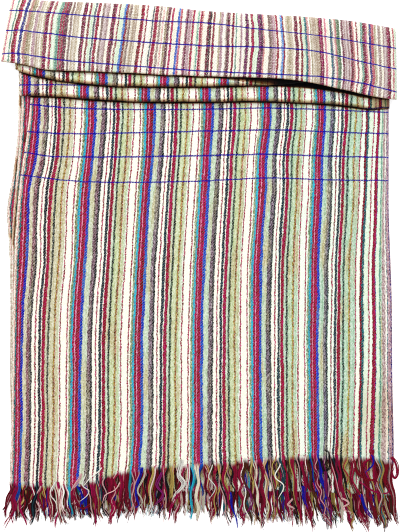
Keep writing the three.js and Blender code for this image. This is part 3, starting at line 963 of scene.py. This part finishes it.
frontPanel = {
    "columns": 230,
    "rows": {"hidden": 22, "crease": 16, "open": 160},
    "creaseWidth": 9.0,  # the rows are close together over this much in front of the fold
    "rippleHeight": 1.3,
    "puckerHeight": 0.6,
    "puckerWidth": 9.0,
    "puckerLength": 46.0,
    "fellRagged": 3.0,  # how unevenly the last picks lie at the fringe
    "sway": 0.9,  # how far the ends wander aside
    "shadowAtEdge": 0.08,  # painted shadow: how light the panel stays right under the fold's edge
    "dipAt": (292, -246),  # where a soft painted shade lies, low down near its right edge
    "dipSize": (46, 78),
    "dipShade": 0.15,
}


def ripple(x, y):
    # soft ripples that run with the warp and die away under the folds, as the panel's solid has
    clear = ease(0, 60, 235 - y)
    wander = 14 * np.sin(y / 95) + 6 * np.sin(y / 41)
    wave = 0.55 * np.sin((x + wander) / 17) + 0.45 * np.sin((x - wander) / 29 + 1.3)
    reach = 0.55 + 0.45 * np.sin(x / 83 + y / 120)
    return frontPanel["rippleHeight"] * clear * reach * (1 + wave) / 2


# the painted shade of the dip, strongest at its middle
def paintedDipShade(x, y):
    dipX, dipY = frontPanel["dipAt"]
    width, length = frontPanel["dipSize"]
    away = np.hypot((x - dipX) / width, (y - dipY) / length)
    broken = 0.8 + 0.4 * softNoise(x / 9, y / 40, 13, 1.0)
    return ease(1.25, 0.2, away) * broken * ease(dipY - 74, dipY - 40, y)


def makeFrontPanel():
    ends = np.linspace(0, plan["endsAcross"], frontPanel["columns"])[None, :]
    rows = frontPanel["rows"]
    hidden = np.linspace(0, 1, rows["hidden"], endpoint=False)
    crease = np.linspace(1, 2, rows["crease"], endpoint=False)
    clear = np.linspace(2, 3, rows["open"])
    v = np.concatenate([hidden, crease, clear])[:, None]
    # the edge of the fold above depends on x, and x on y, so they are found by turns
    x = warpAt(ends, np.zeros_like(v))
    for _ in range(4):
        edge = foldEdgeAt(lowerFold, x)
        start = edge + 2
        stop = edge - frontPanel["creaseWidth"]
        y = np.where(v < 1, mix(farAt(x), start, v), mix(start, stop, v - 1))
        fell = endAt("front", x) + frontPanel["fellRagged"] * (
            softNoise(ends, 0 * ends, 6, 9) + 0.7 * softNoise(ends, 0 * ends, 7, 3.4))
        y = np.where(v > 2, mix(stop, fell, v - 2), y)
        x = warpAt(ends, y)
    sway = softNoise(ends * 6, y, 5, 60) * frontPanel["sway"]
    x = x + sway * ease(0, 6, ends) * ease(0, 6, plan["endsAcross"] - ends)
    clear = ease(0, 60, 262 - y)
    pucker = softNoise(x / frontPanel["puckerWidth"], y / frontPanel["puckerLength"], 11, 1.0)
    fine = softNoise(x / 5.5, y / 15, 12, 1.0)
    z = stack["panelMiddle"] + ripple(x, y)
    z = z + clear * frontPanel["puckerHeight"] * (pucker + 0.5 * fine)
    picks = pickAt(x, y)
    ends = np.broadcast_to(ends, x.shape)
    middle = np.stack([x, y, z], -1)
    # painted shadow under the fold's edge, less the painted shade of the dip
    paintedLightShare = frontPanel["shadowAtEdge"] + (edge - y) / smoothRead(*lowerFold["shadow"], x)
    paintedLightShare = np.clip(paintedLightShare, 0, 1) - frontPanel["dipShade"] * paintedDipShade(x, y)
    return layCloth("frontPanelCloth", middle, ends, picks, faceCloth, paintedLightShare)


lowerFoldCloth = makeSoftFold("lowerFoldCloth", lowerFold, 31, paintedShadeOnLowerFold)
upperFoldCloth = makeSoftFold("upperFoldCloth", upperFold, 41, paintedLipShadeOnUpperFold)
panelCloth = makeFrontPanel()
print("soft folds puffed over the front panel")


flap = {
    "columns": 210,
    "inset": 1.0,  # how far the middle of the cloth lies inside its solid
    "lipReturn": 34,  # how far the cloth runs back under the lip
    "lipStray": (0.6, 24),  # how far its lip strays, and over what length
    "topRows": (14, 65),  # the rows on top
    "lipRow": 68,  # from this row on the cloth is under the lip, and painted dark
    "rimShade": 4.4,  # how far in from the lip painted shade darkens its rounded rim
    "waves": ((0.5, 12, 40), (0.9, 60, 60)),  # their height, width and length
    # how far its stripes lean from the far edge to the lip, at places from left to right
    "lean": ((0, 0.12, 0.2, 0.3, 0.5, 0.75, 1), (18, 16, 13, 12.5, 6, -1, -2)),
    # and how far its stripes bend aside from that, at five places from the far edge to the lip
    "bendAt": (0, 0.03, 0.105, 0.2, 0.34, 0.46, 0.57, 0.62, 0.65, 0.70, 0.745, 0.81, 0.886, 0.92,
               0.98, 1),
    "bends": [
        (0, 2.8, 2.5, 1.6, 1.4, 1.6, 0.7, -1.2, -1.5, -2.2, -2, -2.2, -1.5, -0.8, -1, 0),
        (0, 0.4, -1.5, 0, 0.7, 0.3, 0, 0.8, 0.8, -0.2, -0.8, -1, -0.8, -0.4, -0.2, 0),
        (0, -2, -1.2, 0, 0, 0, 0, 1, 1.9, 1.8, 1.2, 0.3, 1.2, 0.6, 0.2, 0),
        (0, -2, 0.8, -0.4, -1.4, -0.8, 0, -0.5, -0.3, 1.2, 1.2, 1.6, 2, 2, 0.5, 0),
        (0, 1.4, 2.8, 1.6, -2, -1, -1, -2, -1.8, -0.8, 0, 1, -1.5, -2.8, -0.5, 0),
    ],
    # three navy picks on the flap, from left to right
    "navyX": (-310, -285, -230, -180, -75, 6, 90, 185, 250, 312),
    "navyY": (
        (408, 407, 403, 399, 391, 388, 378, 368, 358, 348),
        (376, 376, 370, 364, 357, 352, 350, 343, 328, 315),
        (339, 340, 331, 326, 318, 312, 308, 303, 294, 279),
    ),
}


def makeFlap():
    u = np.linspace(0, 1, flap["columns"])
    at = mix(flapRows["x"][0], flapRows["x"][-1], u)
    back, lip, crest, lipTop = (readAt(flapRows, kind, at) for kind in flapRows if kind != "x")
    stray, cell = flap["lipStray"]
    lip = lip + stray * softNoise(at, 0 * at, 51, cell)
    half = flap["inset"]
    places = [
        (back - stack["backTuck"], 0 * at + half),
        (back - 13, 0 * at + half + 0.2),
        (back - 3.2, crest * 0.24),
        (back - half, crest * 0.52),
        (back - 5, crest * 0.82),
        (back - 17, crest - half - 0.6),
        (back - 36, crest - half),
        (mix(back, lip, 0.62), mix(crest, lipTop, 0.4) - half),
        (lip + 12, lipTop - half),
        (lip + 3.4, lipTop - 2),
        (lip + half, lipTop - 4.4),
        (lip + 3.6, lipTop - 6.8),
        (lip + 12, lipTop - 7.6),
        (lip + flap["lipReturn"], lipTop - 7),
    ]
    controls = np.stack([np.stack(p, -1) for p in places], 1)
    y, z = alongProfile(controls, (4, 4, 4, 5, 6, 9, 14, 14, 5, 4, 4, 4, 6))
    length = clothLength(y, z)
    share = np.clip((back - y) / (back - lip), 0, 1)
    lean = smoothRead(*flap["lean"], u)
    x = at[None, :] - lean[None, :] * (share - 0.5)
    bends = np.stack([smoothRead(flap["bendAt"], row, u) for row in flap["bends"]])
    step = np.clip(share * (len(bends) - 1), 0, len(bends) - 1.001)
    level = step.astype(int)
    columnNumber = np.arange(flap["columns"])[None, :] + 0 * level
    part = ease(0, 1, step - level)
    x = x + mix(bends[level, columnNumber], bends[level + 1, columnNumber], part)
    over = ease(8, 20, z) * ease(0, 10, y - lip[None, :] - 4)
    wave = -0.5
    for seed, (height, width, run) in enumerate(flap["waves"], 52):
        wave = wave + height * softNoise(x / width, y / run, seed, 1.0)
    z = z + over * wave
    ends = u[None, :] * flapEnds + 0 * y
    seen = slice(*flap["topRows"])
    lines = np.stack([
        [np.interp(-smoothRead(flap["navyX"], row, at[c]), -y[seen, c], length[seen, c])
         for c in range(len(at))]
        for row in flap["navyY"]
    ])
    every = weave["lineEvery"]
    picks = (length - lines[0]) / plan["pickPitch"]
    t = (length - lines[0]) / (lines[1] - lines[0])
    picks = np.where(t > 0, every * t, picks)
    t = (length - lines[1]) / (lines[2] - lines[1])
    picks = np.where(t > 0, every * (1 + t), picks)
    picks = np.where(length > lines[2], 2 * every + (length - lines[2]) / plan["pickPitch"], picks)
    # painted shade on the lip's rounded rim, and the cloth under the lip painted dark
    paintedLightShare = 0.5 + (y - lip[None, :]) / flap["rimShade"]
    paintedLightShare = np.where(y > lip[None, :] + 30, 1, paintedLightShare)
    paintedLightShare = np.where(np.arange(len(y))[:, None] > flap["lipRow"], 0, paintedLightShare)
    return layCloth("flapCloth", np.stack([x, y, z], -1), ends, picks, reverseCloth, paintedLightShare)


flapCloth = makeFlap()
print("flap turned over")


# the loose yarns below each stripe, where no cream weft lightens them, the commonest first
looseDyes = {
    "paleGreen": "ruby ochre pale ruby umber wine",
    "lime": "ruby ochre pale ruby umber wine",
    "white": "ruby ochre wine crimson cream",
    "cream": "ruby pale cream",
    "mint": "ochre wine teal cream",
    "pinkDash": "rosy crimson",
    "dash": "crimson ruby",
    "mauve": "wine umber plum black",
    "paleMauve": "wine plum rosy",
    "pinkGrey": "wine umber ruby",
    "rosy": "crimson rosy ruby",
    "sandSpeck": "ruby umber",
    "crimson": "ruby crimson ruby",
    "ruby": "ruby wine",
    "blue": "royal royal blue",
    "cyan": "cyan teal royal",
    "teal": "teal black",
    "paleTeal": "teal pale",
    "blackTeal": "black blackTeal",
    "blackBrown": "black umber",
    "darkOlive": "black ochre",
    "tan": "ochre teal umber",
    "ochre": "ochre",
    "rust": "ruby ochre",
    "indigo": "royal plum",
    "navy": "royal",
}
fringeFront = {
    "layer": "front",
    "firstEnd": 0,
    "yarnWidth": 1.9,
    "steps": 28,
    "sides": 5,
    "most": 9,  # ends in a lock
    "gather": ((-310, -100, -40, 310), (0.86, 0.86, 0.62, 0.66)),  # a lock's width, drawn together
    "curl": (0.7, 3.4),
    "curlLength": (26, 60),
    "point": 0.6,  # how far a lock draws to a point at its tip
    "shortTips": (-376, -397),
    "longTips": (-396, -411),
    "longShare": ((-310, -100, 0, 310), (0.3, 0.3, 0.55, 0.7)),
    "lean": 12,
    "proud": 5.0,  # the locks start this far back on the cloth
    "heights": (6.7, 7.6, 2.4),  # at the root, at the highest, and at the tip
    "seed": 61,
}
fringeUnder = {
    "layer": "under",
    "from": -301,
    "to": 306,
    "firstEnd": 20,  # its stripes lie this many ends further left
    "yarnWidth": 2.1,
    "steps": 16,
    "sides": 5,
    "most": 7,
    "gather": ((-310, 310), (1, 1)),
    "curl": (0.3, 1.3),
    "curlLength": (20, 40),
    "point": 0.3,
    "shortTips": (-392, -398),
    "longTips": (-397, -402),
    "longShare": ((-310, 310), (0.06, 0.06)),
    "lean": 5,
    "proud": 2.0,
    "heights": (3.0, 3.6, 1.3),
    # painted shade: its yarns are darkened, lying under the front fringe
    "inShade": 0.66,
    "dyes": "wine ruby ochre wine black plum pale umber royal",
    "seed": 71,
}
# dark locks behind the front ones, darkened further by painted shade, close together on the left and
# fewer on the right
fringeFill = {
    "layer": "front",
    "firstEnd": 0,
    "yarnWidth": 2.0,
    "steps": 18,
    "sides": 4,
    "most": 6,
    "gather": ((-310, 310), (0.95, 0.95)),
    "curl": (0.6, 2.4),
    "curlLength": (24, 46),
    "point": 0.55,
    "shortTips": (-382, -394),
    "longTips": (-396, -406),
    "longShare": ((-310, 310), (0.25, 0.25)),
    "lean": 12,
    "proud": 3.0,
    "heights": (5.4, 5.8, 1.8),
    # painted shade: its yarns are darkened, lying behind the front locks
    "inShade": 0.7,
    "kept": ((-310, -70, -40, 40, 90, 130, 310), (1, 1, 0.5, 0.4, 0.4, 0.25, 0.25)),
    "dyes": "wine ruby ochre black plum wine umber",
    "seed": 65,
}
# strands that lie across the others, each through listed places
strays = [  # its dye, how many yarns it has, and the places
    ("black", 3, (192, -308, 9), (198, -325, 9), (206, -323, 9), (208, -312, 9), (206, -298, 9.4),
     (197, -295, 9.4)),
    ("ruby", 3, (276, -294, 8.6), (274, -307, 9), (263, -317, 9), (266, -324, 8.6)),
    ("royal", 2, (274, -302, 9.4), (277, -315, 9.4), (274, -323, 9), (264, -331, 8)),
    ("wine", 3, (245, -312, 8.6), (254, -332, 9), (270, -343, 8), (282, -339, 8.6), (281, -327, 9)),
    ("crimson", 2, (254, -346, 8), (270, -355, 8), (284, -362, 7), (298, -365, 6.6), (303, -357, 7),
     (301, -345, 8)),
    ("ruby", 4, (306, -306, 8.6), (315, -319, 8), (317, -332, 7), (312, -339, 7), (308, -331, 8),
     (310, -322, 8.6)),
    ("wine", 2, (305, -338, 8), (308, -360, 6), (311, -378, 4), (315, -396, 2)),
    ("royal", 4, (164, -352, 7.6), (167, -370, 6.8), (173, -390, 3.6)),
    ("royal", 3, (191, -312, 8.6), (194, -332, 9), (198, -353, 7.6), (204, -373, 6)),
    ("royal", 4, (256, -366, 7), (262, -381, 6), (276, -406, 2)),
    ("cream", 5, (-30, -310, 8.4), (-33, -334, 9), (-27, -348, 9), (-38, -366, 7), (-45, -380, 5)),
    ("royal", 3, (-93, -322, 8.4), (-98, -344, 9), (-103, -367, 7.6), (-97, -383, 5), (-105, -388, 3.4)),
    ("pale", 2, (-88, -326, 8.4), (-93, -346, 9), (-100, -362, 7.6), (-92, -378, 5), (-96, -387, 3.4)),
    ("crimson", 3, (-36, -362, 7.4), (-42, -376, 5.6), (-52, -408, 1.8)),
    ("royal", 2, (48, -362, 7), (53, -389, 4), (62, -421, 1.4)),
    ("crimson", 2, (46, -352, 7.6), (46, -372, 6), (51, -411, 1.8)),
    ("plum", 3, (72, -352, 8), (82, -366, 7), (82, -383, 5), (65, -406, 1.8)),
    ("crimson", 3, (-228, -346, 8.4), (-226, -362, 7), (-225, -383, 4.6), (-233, -420, 1.4)),
    ("cream", 2, (-232, -344, 8.4), (-238, -364, 7.6), (-231, -380, 5), (-230, -396, 2)),
    ("indigo", 2, (-294, -352, 7.4), (-297, -376, 5), (-301, -404, 1.6)),
    ("crimson", 3, (-290, -364, 6.6), (-287, -388, 4), (-278, -416, 1.6)),
    ("royal", 4, (-185, -352, 7.6), (-183, -368, 6.6), (-182, -399, 2)),
    ("rosy", 3, (-190, -332, 8.4), (-197, -348, 8.4), (-205, -362, 7), (-200, -378, 5),
     (-212, -386, 3.4)),
    ("cream", 1, (-184, -332, 9), (-187, -350, 9.4), (-178, -360, 9), (-192, -378, 6)),
    ("cream", 1, (-158, -322, 9), (-168, -334, 9.6), (-180, -344, 9.4), (-188, -352, 9)),
    ("rosy", 1, (-129, -346, 9), (-138, -360, 9), (-152, -368, 8.6), (-158, -380, 6)),
    ("wine", 3, (-169, -368, 7), (-174, -382, 5.4), (-186, -389, 4), (-196, -383, 4)),
    ("plum", 3, (-62, -330, 9), (-68, -350, 9), (-60, -366, 7.4), (-72, -384, 5)),
    ("rosy", 2, (-255, -352, 8.6), (-262, -370, 7.4), (-258, -388, 4), (-268, -398, 2)),
    ("cream", 1, (20, -318, 9), (14, -336, 9.4), (24, -352, 9), (16, -372, 7)),
    ("cream", 1, (128, -316, 9), (121, -336, 9.4), (133, -352, 9), (126, -374, 7)),
    ("rosy", 2, (226, -372, 7), (238, -380, 6), (230, -388, 5), (244, -396, 3)),
    ("rosy", 2, (148, -372, 7), (140, -382, 6), (152, -388, 5), (142, -396, 3)),
    ("crimson", 3, (-138, -376, 5.6), (-141, -392, 3.6), (-143, -414, 1.4)),
]
strayFringe = {"yarnWidth": 1.7, "steps": 36, "sides": 5, "shades": (0.6, 1.1), "seed": 81}
wisps = {
    "count": 420,
    "width": 0.8,
    "steps": 7,
    "sides": 3,
    "across": (-305, 312),
    "bunched": 14,  # how far they gather, thicker here than there
    "length": (10, 24),
    "from": (-376, -392),
    "bend": 5,
    "lean": 6,
    "heights": (3.4, 0.6),  # at the root and at the tip
    "dyes": ("mist", "mist", "mint", "rosy", "cream"),
    "seed": 91,
}
# towards the right fewer of the loose yarns are red
otherWool = {"share": ((-310, -60, 40, 310), (0.02, 0.12, 0.42, 0.5)),
             "dyes": ("ochre", "umber", "pale", "plum", "royal", "teal", "black", "crimson", "umber")}
paleDyes = {"cream", "pale", "mint", "sky", "white"}
yarnShades = {
    "pale": (0.92, 1.12),  # how light a pale yarn is, at its darkest and its lightest
    "dark": (0.36, 1.08),
    "ownDye": 0.78,  # the share of yarns that keep to their lock's main dye
    "faded": 0.09,  # and the share that has faded
    "fade": 0.7,
}
yarnWays = {
    "root": (0.3, 1.2),  # how far back a lock starts, as shares of proud
    "leanSpread": 0.35,
    "hook": 4,  # how far a tip hooks aside
    "lift": 0.7,
    "turnLength": (70, 130),  # a lock turns round itself once in this length
    "flat": (0.6, 0.45),  # how wide it is seen edge on, and how much more flat on
    "ownSway": 0.5,
    "splay": 0.9,
    "lengthSpread": 0.035,  # as a share of its length
    "endSpread": 1.0,
    "heightSpread": 0.3,
    "tubeSpread": (0.85, 1.2),
}


def endDyes(firstEnd, count):
    # the dye of each warp end of the face, from the charts
    whole = [name for name, ends in leftBorder for _ in range(int(ends))]
    cycle = [name for name, ends in warpRepeat for _ in range(int(ends))]
    border = [name for name, ends in rightBorder for _ in range(int(ends))]
    for end in range(len(whole), borders["rightFrom"]):
        whole.append(cycle[(end - borders["repeatStart"]) % len(cycle)])
    whole += border
    return [whole[min(firstEnd + k, len(whole) - 1)] for k in range(count)]


def layYarns(name, paths, widths, colours, sides):
    # tubes along the paths (yarns, steps, 3), each with its own width and colour at each step
    count, steps = paths.shape[:2]
    forward = np.gradient(paths, axis=1)
    forward /= np.linalg.norm(forward, axis=2, keepdims=True) + 1e-9
    side = np.cross(forward, np.array([0.0, 0.0, 1.0]))
    side /= np.linalg.norm(side, axis=2, keepdims=True) + 1e-9
    up = np.cross(side, forward)
    angle = np.arange(sides) * 2 * math.pi / sides
    ring = side[:, :, None] * np.cos(angle)[:, None] + up[:, :, None] * np.sin(angle)[:, None]
    points = paths[:, :, None] + ring * (widths / 2)[:, :, None, None]
    points[..., 2] = np.maximum(points[..., 2], 0.05)
    number = np.arange(count * steps * sides).reshape(count, steps, sides)
    a = number[:, :-1]
    b = number[:, 1:]
    around = np.roll(np.arange(sides), -1)
    walls = np.stack([a, a[..., around], b[..., around], b], -1).reshape(-1, 4)
    faces = walls.tolist() + number[:, 0, ::-1].tolist() + number[:, -1].tolist()
    step = np.linalg.norm(np.diff(paths, axis=1), axis=2)
    along = np.concatenate([np.zeros((count, 1)), np.cumsum(step, axis=1)], 1)
    threads = np.stack([
        np.broadcast_to(along[:, :, None], number.shape),
        np.broadcast_to(np.arange(sides) / sides, number.shape),
    ], -1).reshape(-1, 2)
    full = np.ones((count, steps, sides, 4))
    full[..., :3] = colours[:, :, None]
    extras = {"dye": full.reshape(-1, 4)}
    return makeMesh(name, points.reshape(-1, 3), faces, looseYarn, threads, extras)


def gatherLocks(dyes, most, rng):
    # neighbouring ends of one dye hang together, and single ends join the lock beside them
    locks = []
    k = 0
    while k < len(dyes):
        size = 1
        while k + size < len(dyes) and dyes[k + size] == dyes[k] and size < most:
            size += 1
        if locks and (size < 3 or rng.random() < 0.25) and len(locks[-1]) + size <= most:
            locks[-1] += range(k, k + size)
        else:
            locks.append([*range(k, k + size)])
        k += size
    return locks


def frontEndX(end):
    # where an end leaves the front panel, from its x a little further up
    x = warpAt(np.array([[end]]), np.array([[-310.0]]))[0, 0]
    return warpAt(np.array([[end]]), np.array([[float(endAt("front", x))]]))[0, 0]


def underEndX(end):
    return mix(fringeUnder["from"], fringeUnder["to"], end / plan["endsAcross"])


# the fringe hangs lower towards both ends, and most on the right. It leans out at both ends, and
# this way and that between them
fringeHang = {
    "longer": ((-310, -240, -180, -110, -10, 60, 160, 310), (6, 10, 5, 2, 0, 7, 13, 13)),
    "leansOut": ((-310, -285, -240, 100, 190, 270, 310), (-1.1, -0.7, 0, 0, 2.1, 2.0, 0.6)),
    "leansBothWays": 0.45,
}


def extraLength(x):
    return np.interp(x, *fringeHang["longer"])


def leanAt(x):
    return np.interp(x, *fringeHang["leansOut"]) + fringeHang["leansBothWays"] * np.sin(x / 47)


def hangLocks(fringe, xOf):
    rng = np.random.default_rng(fringe["seed"])
    dyes = endDyes(fringe["firstEnd"], plan["endsAcross"])
    t = np.linspace(0, 1, fringe["steps"])
    rootZ, highZ, tipZ = fringe["heights"]
    edgeOn, flatOn = yarnWays["flat"]
    aroundOnce = 6.3  # a full turn, in radians
    paths, widths, colours = [], [], []
    for lock in gatherLocks(dyes, fringe["most"], rng):
        x0 = float(xOf(np.mean(lock) + 0.5))
        if "kept" in fringe and rng.random() > np.interp(x0, *fringe["kept"]):
            continue
        gather = np.interp(x0, *fringe["gather"])
        y0 = float(endAt(fringe["layer"], x0)) + fringe["proud"] * rng.uniform(*yarnWays["root"])
        long = rng.random() < np.interp(x0, *fringe["longShare"])
        tip = rng.uniform(*sorted(fringe["longTips" if long else "shortTips"])) - extraLength(x0)
        hang = (y0 - tip) * t
        lean = fringe["lean"] * (leanAt(x0) + rng.normal(0, yarnWays["leanSpread"])) * t ** 1.4
        curl = rng.uniform(*fringe["curl"])
        wave = hang / rng.uniform(*fringe["curlLength"]) * 2 * math.pi + rng.uniform(0, aroundOnce)
        hook = rng.normal(0, yarnWays["hook"]) * t ** 4
        lane = x0 + lean + curl * (np.sin(wave) - math.sin(wave[0])) * ease(0, 12, hang) + hook
        lift = rng.normal(0, yarnWays["lift"])
        turn = rng.uniform(0, aroundOnce)
        spin = hang * 2 * math.pi / rng.uniform(*yarnWays["turnLength"])
        choices = (fringe.get("dyes") or looseDyes[dyes[lock[len(lock) // 2]]]).split()
        main = choices[min(int(rng.exponential(1.1)), len(choices) - 1)]
        if main in ("ruby", "wine") and rng.random() < np.interp(x0, *otherWool["share"]):
            main = otherWool["dyes"][rng.integers(len(otherWool["dyes"]))]
        for end in lock:
            aside = float(xOf(end + 0.5)) - x0
            gathered = mix(1, gather, ease(0, 16, hang)) * (1 - fringe["point"] * t ** 3)
            turned = np.abs(np.cos(spin + turn)) * flatOn + edgeOn
            across = aside * gathered * mix(1, turned, ease(0, 20, hang))
            own = rng.normal(0, yarnWays["ownSway"]) * np.sin(wave * 1.6 + rng.uniform(0, aroundOnce)) * t
            splay = rng.normal(0, yarnWays["splay"]) * ease(0.7, 1, t)
            y = y0 - hang * (1 + rng.normal(0, yarnWays["lengthSpread"]))
            y = y + rng.normal(0, yarnWays["endSpread"])
            z = mix(rootZ, highZ, ease(0, 14, hang)) - (highZ - tipZ) * ease(0.3, 1, t)
            z = z + lift * np.sin(math.pi * t) + aside * 0.16 * np.sin(spin + turn) * ease(0, 20, hang)
            z = z + rng.normal(0, yarnWays["heightSpread"])
            paths.append(np.stack([lane + across + own + splay, y, np.maximum(z, 0.8)], -1))
            widths.append(fringe["yarnWidth"] * rng.uniform(*yarnWays["tubeSpread"]) * (1 - 0.7 * t ** 6))
            ownDye = main if rng.random() < yarnShades["ownDye"] else choices[rng.integers(len(choices))]
            shades = yarnShades["pale" if ownDye in paleDyes else "dark"]
            shown = linear(dye[ownDye]) * rng.uniform(*shades)
            faded = yarnShades["fade"] * (rng.random() < yarnShades["faded"])
            shown = mix(shown, linear(dye["rosy"]), faded)
            # painted shade on locks that lie under or behind the others
            shown = shown * fringe.get("inShade", 1)
            woven = shown if "dyes" in fringe else linear(dye[dyes[end]])
            colours.append(mix(woven, shown, ease(0, 7, hang)[:, None]))
    return np.array(paths), np.array(widths), np.array(colours)


def laySideStrands(way, yarns, fringe, rng):
    # yarns that run side by side through the places
    places = np.array(way, float)
    chord = np.concatenate([[0], np.cumsum(np.linalg.norm(np.diff(places, axis=0), axis=1))])
    at = np.linspace(0, chord[-1], fringe["steps"])
    lane = np.stack([smoothRead(chord, places[:, k], at) for k in range(3)], -1)
    forward = np.gradient(lane, axis=0)
    side = np.stack([-forward[:, 1], forward[:, 0], 0 * at], -1)
    side /= np.linalg.norm(side, axis=1, keepdims=True)
    t = at / at[-1]
    paths, widths = [], []
    for k in range(yarns):
        aside = (k - (yarns - 1) / 2) * fringe["yarnWidth"] * 0.78
        sway = 1.1 * np.sin(at / 6 + rng.uniform(0, 1.5))
        beside = side * (aside * (1 - 0.7 * t ** 3) + sway)[:, None]
        paths.append(lane + beside + [0, 0, 0.5 * math.cos(k * 2.2)])
        widths.append(fringe["yarnWidth"] * rng.uniform(0.9, 1.15) * (1 - 0.8 * t ** 6))
    return paths, widths


def layStrays():
    rng = np.random.default_rng(strayFringe["seed"])
    paths, widths, colours = [], [], []
    for dyeName, yarns, *way in strays:
        more, wide = laySideStrands(way, yarns, strayFringe, rng)
        paths += more
        widths += wide
        for _ in more:
            shown = linear(dye[dyeName]) * rng.uniform(*strayFringe["shades"])
            colours.append(np.tile(shown, (strayFringe["steps"], 1)))
    return np.array(paths), np.array(widths), np.array(colours)


def layWisps():
    # fine pale fibres that have worked loose at the tips
    rng = np.random.default_rng(wisps["seed"])
    t = np.linspace(0, 1, wisps["steps"])
    paths, widths, colours = [], [], []
    for _ in range(wisps["count"]):
        x0 = rng.uniform(*wisps["across"])
        x0 += wisps["bunched"] * math.sin(x0 / 23)
        y0 = rng.uniform(*sorted(wisps["from"])) - extraLength(x0)
        length = rng.uniform(*wisps["length"])
        bend = rng.normal(0, wisps["bend"])
        x = x0 + (wisps["lean"] * leanAt(x0) + rng.normal(0, 2)) * t + bend * t ** 2
        z = mix(*wisps["heights"], t)
        paths.append(np.stack([np.clip(x, -324, 324), y0 - length * t, z], -1))
        widths.append(wisps["width"] * (1 - 0.6 * t))
        shown = linear(dye[wisps["dyes"][rng.integers(len(wisps["dyes"]))]])
        colours.append(np.tile(shown, (wisps["steps"], 1)))
    return np.array(paths), np.array(widths), np.array(colours)


def joinPieces(name, pieces):
    # one object from several meshes of the same material
    with bpy.context.temp_override(active_object=pieces[0], selected_editable_objects=pieces):
        bpy.ops.object.join()
    pieces[0].name = name
    return pieces[0]


fringeUnderYarns = layYarns("fringeUnderYarns", *hangLocks(fringeUnder, underEndX), fringeUnder["sides"])
fringeFrontYarns = layYarns("fringeFrontYarns", *hangLocks(fringeFront, frontEndX), fringeFront["sides"])
fringeLooseYarns = joinPieces("fringeLooseYarns", [
    layYarns("fillLocks", *hangLocks(fringeFill, frontEndX), fringeFill["sides"]),
    layYarns("strays", *layStrays(), strayFringe["sides"]),
    layYarns("wisps", *layWisps(), wisps["sides"]),
])
for fringe in (fringeUnderYarns, fringeFrontYarns, fringeLooseYarns):
    print("fringe made:", fringe.name, len(fringe.data.polygons), "faces")


# the stretches of the one length of cloth: a piece, its node and slot, its width and length laid
# flat in metres, and what it rests on
cuts = [
    (lowestCloth, "under_layers", "under_cloth", (0.61, 0.755), []),
    (middleCloth, "under_layers", "under_cloth", (0.61, 0.755), ["lowestCloth"]),
    (panelCloth, "front_panel", "face_cloth", (0.61, 0.705), ["middleCloth"]),
    (lowerFoldCloth, "fold_lower", "face_cloth", (0.59, 0.19), ["frontPanelCloth"]),
    (upperFoldCloth, "fold_upper", "face_cloth", (0.51, 0.165), ["lowerFoldCloth"]),
    (flapCloth, "flap", "reverse_cloth", (0.62, 0.215), ["upperFoldCloth"]),
]
for piece, node, slotName, flatSize, under in cuts:
    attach(piece, "root")
    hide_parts(node)
for piece, node in ((fringeFrontYarns, "fringe_front"), (fringeLooseYarns, "fringe_front"),
                    (fringeUnderYarns, "fringe_under")):
    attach(piece, "root")
    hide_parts(node)


studio = {
    "floorSize": 6.0,  # metres
    "floorWhite": 0.96,
    "floorGlow": 0.5,  # the floor glows, so that shadows on it stay pale
    "skyStrength": 0.88,
    "lampPower": 96.0,  # watts
    "lampSize": 2.6,
    "lampAt": (-0.9, 2.6, 3.2),
    "cameraHeight": 4.0,
    "frameHeight": 0.853,  # how much of the floor the camera sees from near to far
    "sensor": 36.0,
}


def makeStage():
    half = studio["floorSize"] / 2
    mesh = bpy.data.meshes.new("floor")
    corners = [(-half, -half, 0), (half, -half, 0), (half, half, 0), (-half, half, 0)]
    mesh.from_pydata(corners, [], [(0, 1, 2, 3)])
    floor = bpy.data.objects.new("floor", mesh)
    bpy.context.scene.collection.objects.link(floor)
    white = bpy.data.materials.new("floor-white")
    white.use_nodes = True
    paint = white.node_tree.nodes["Principled BSDF"]
    paint.inputs["Base Color"].default_value = (*[studio["floorWhite"]] * 3, 1)
    paint.inputs["Emission Color"].default_value = (1, 1, 1, 1)
    paint.inputs["Emission Strength"].default_value = studio["floorGlow"]
    paint.inputs["Roughness"].default_value = 0.9
    paint.inputs["Specular IOR Level"].default_value = 0.1
    mesh.materials.append(white)

    world = bpy.data.worlds.new("studio")
    world.use_nodes = True
    sky = world.node_tree.nodes["Background"]
    sky.inputs["Color"].default_value = (1, 1, 1, 1)
    sky.inputs["Strength"].default_value = studio["skyStrength"]
    bpy.context.scene.world = world

    light = bpy.data.lights.new("softbox", "AREA")
    light.shape = "DISK"
    light.size = studio["lampSize"]
    light.energy = studio["lampPower"]
    lamp = bpy.data.objects.new("softbox", light)
    lamp.location = studio["lampAt"]
    lamp.rotation_euler = (-Vector(studio["lampAt"])).to_track_quat("-Z", "Y").to_euler()
    bpy.context.scene.collection.objects.link(lamp)

    lens = bpy.data.cameras.new("camera")
    lens.sensor_width = studio["sensor"]
    lens.lens = studio["sensor"] * studio["cameraHeight"] / studio["frameHeight"]
    camera = bpy.data.objects.new("camera", lens)
    camera.location = (float(shift[0]) * mm, float(shift[1]) * mm, studio["cameraHeight"])
    bpy.context.scene.collection.objects.link(camera)
    bpy.context.scene.camera = camera
    scene = bpy.context.scene
    scene.view_settings.view_transform = "Standard"
    scene.cycles.use_denoising = False  # it would smear the threads together
    scene.cycles.filter_width = 1.1


makeStage()
print("stage, light and camera set")
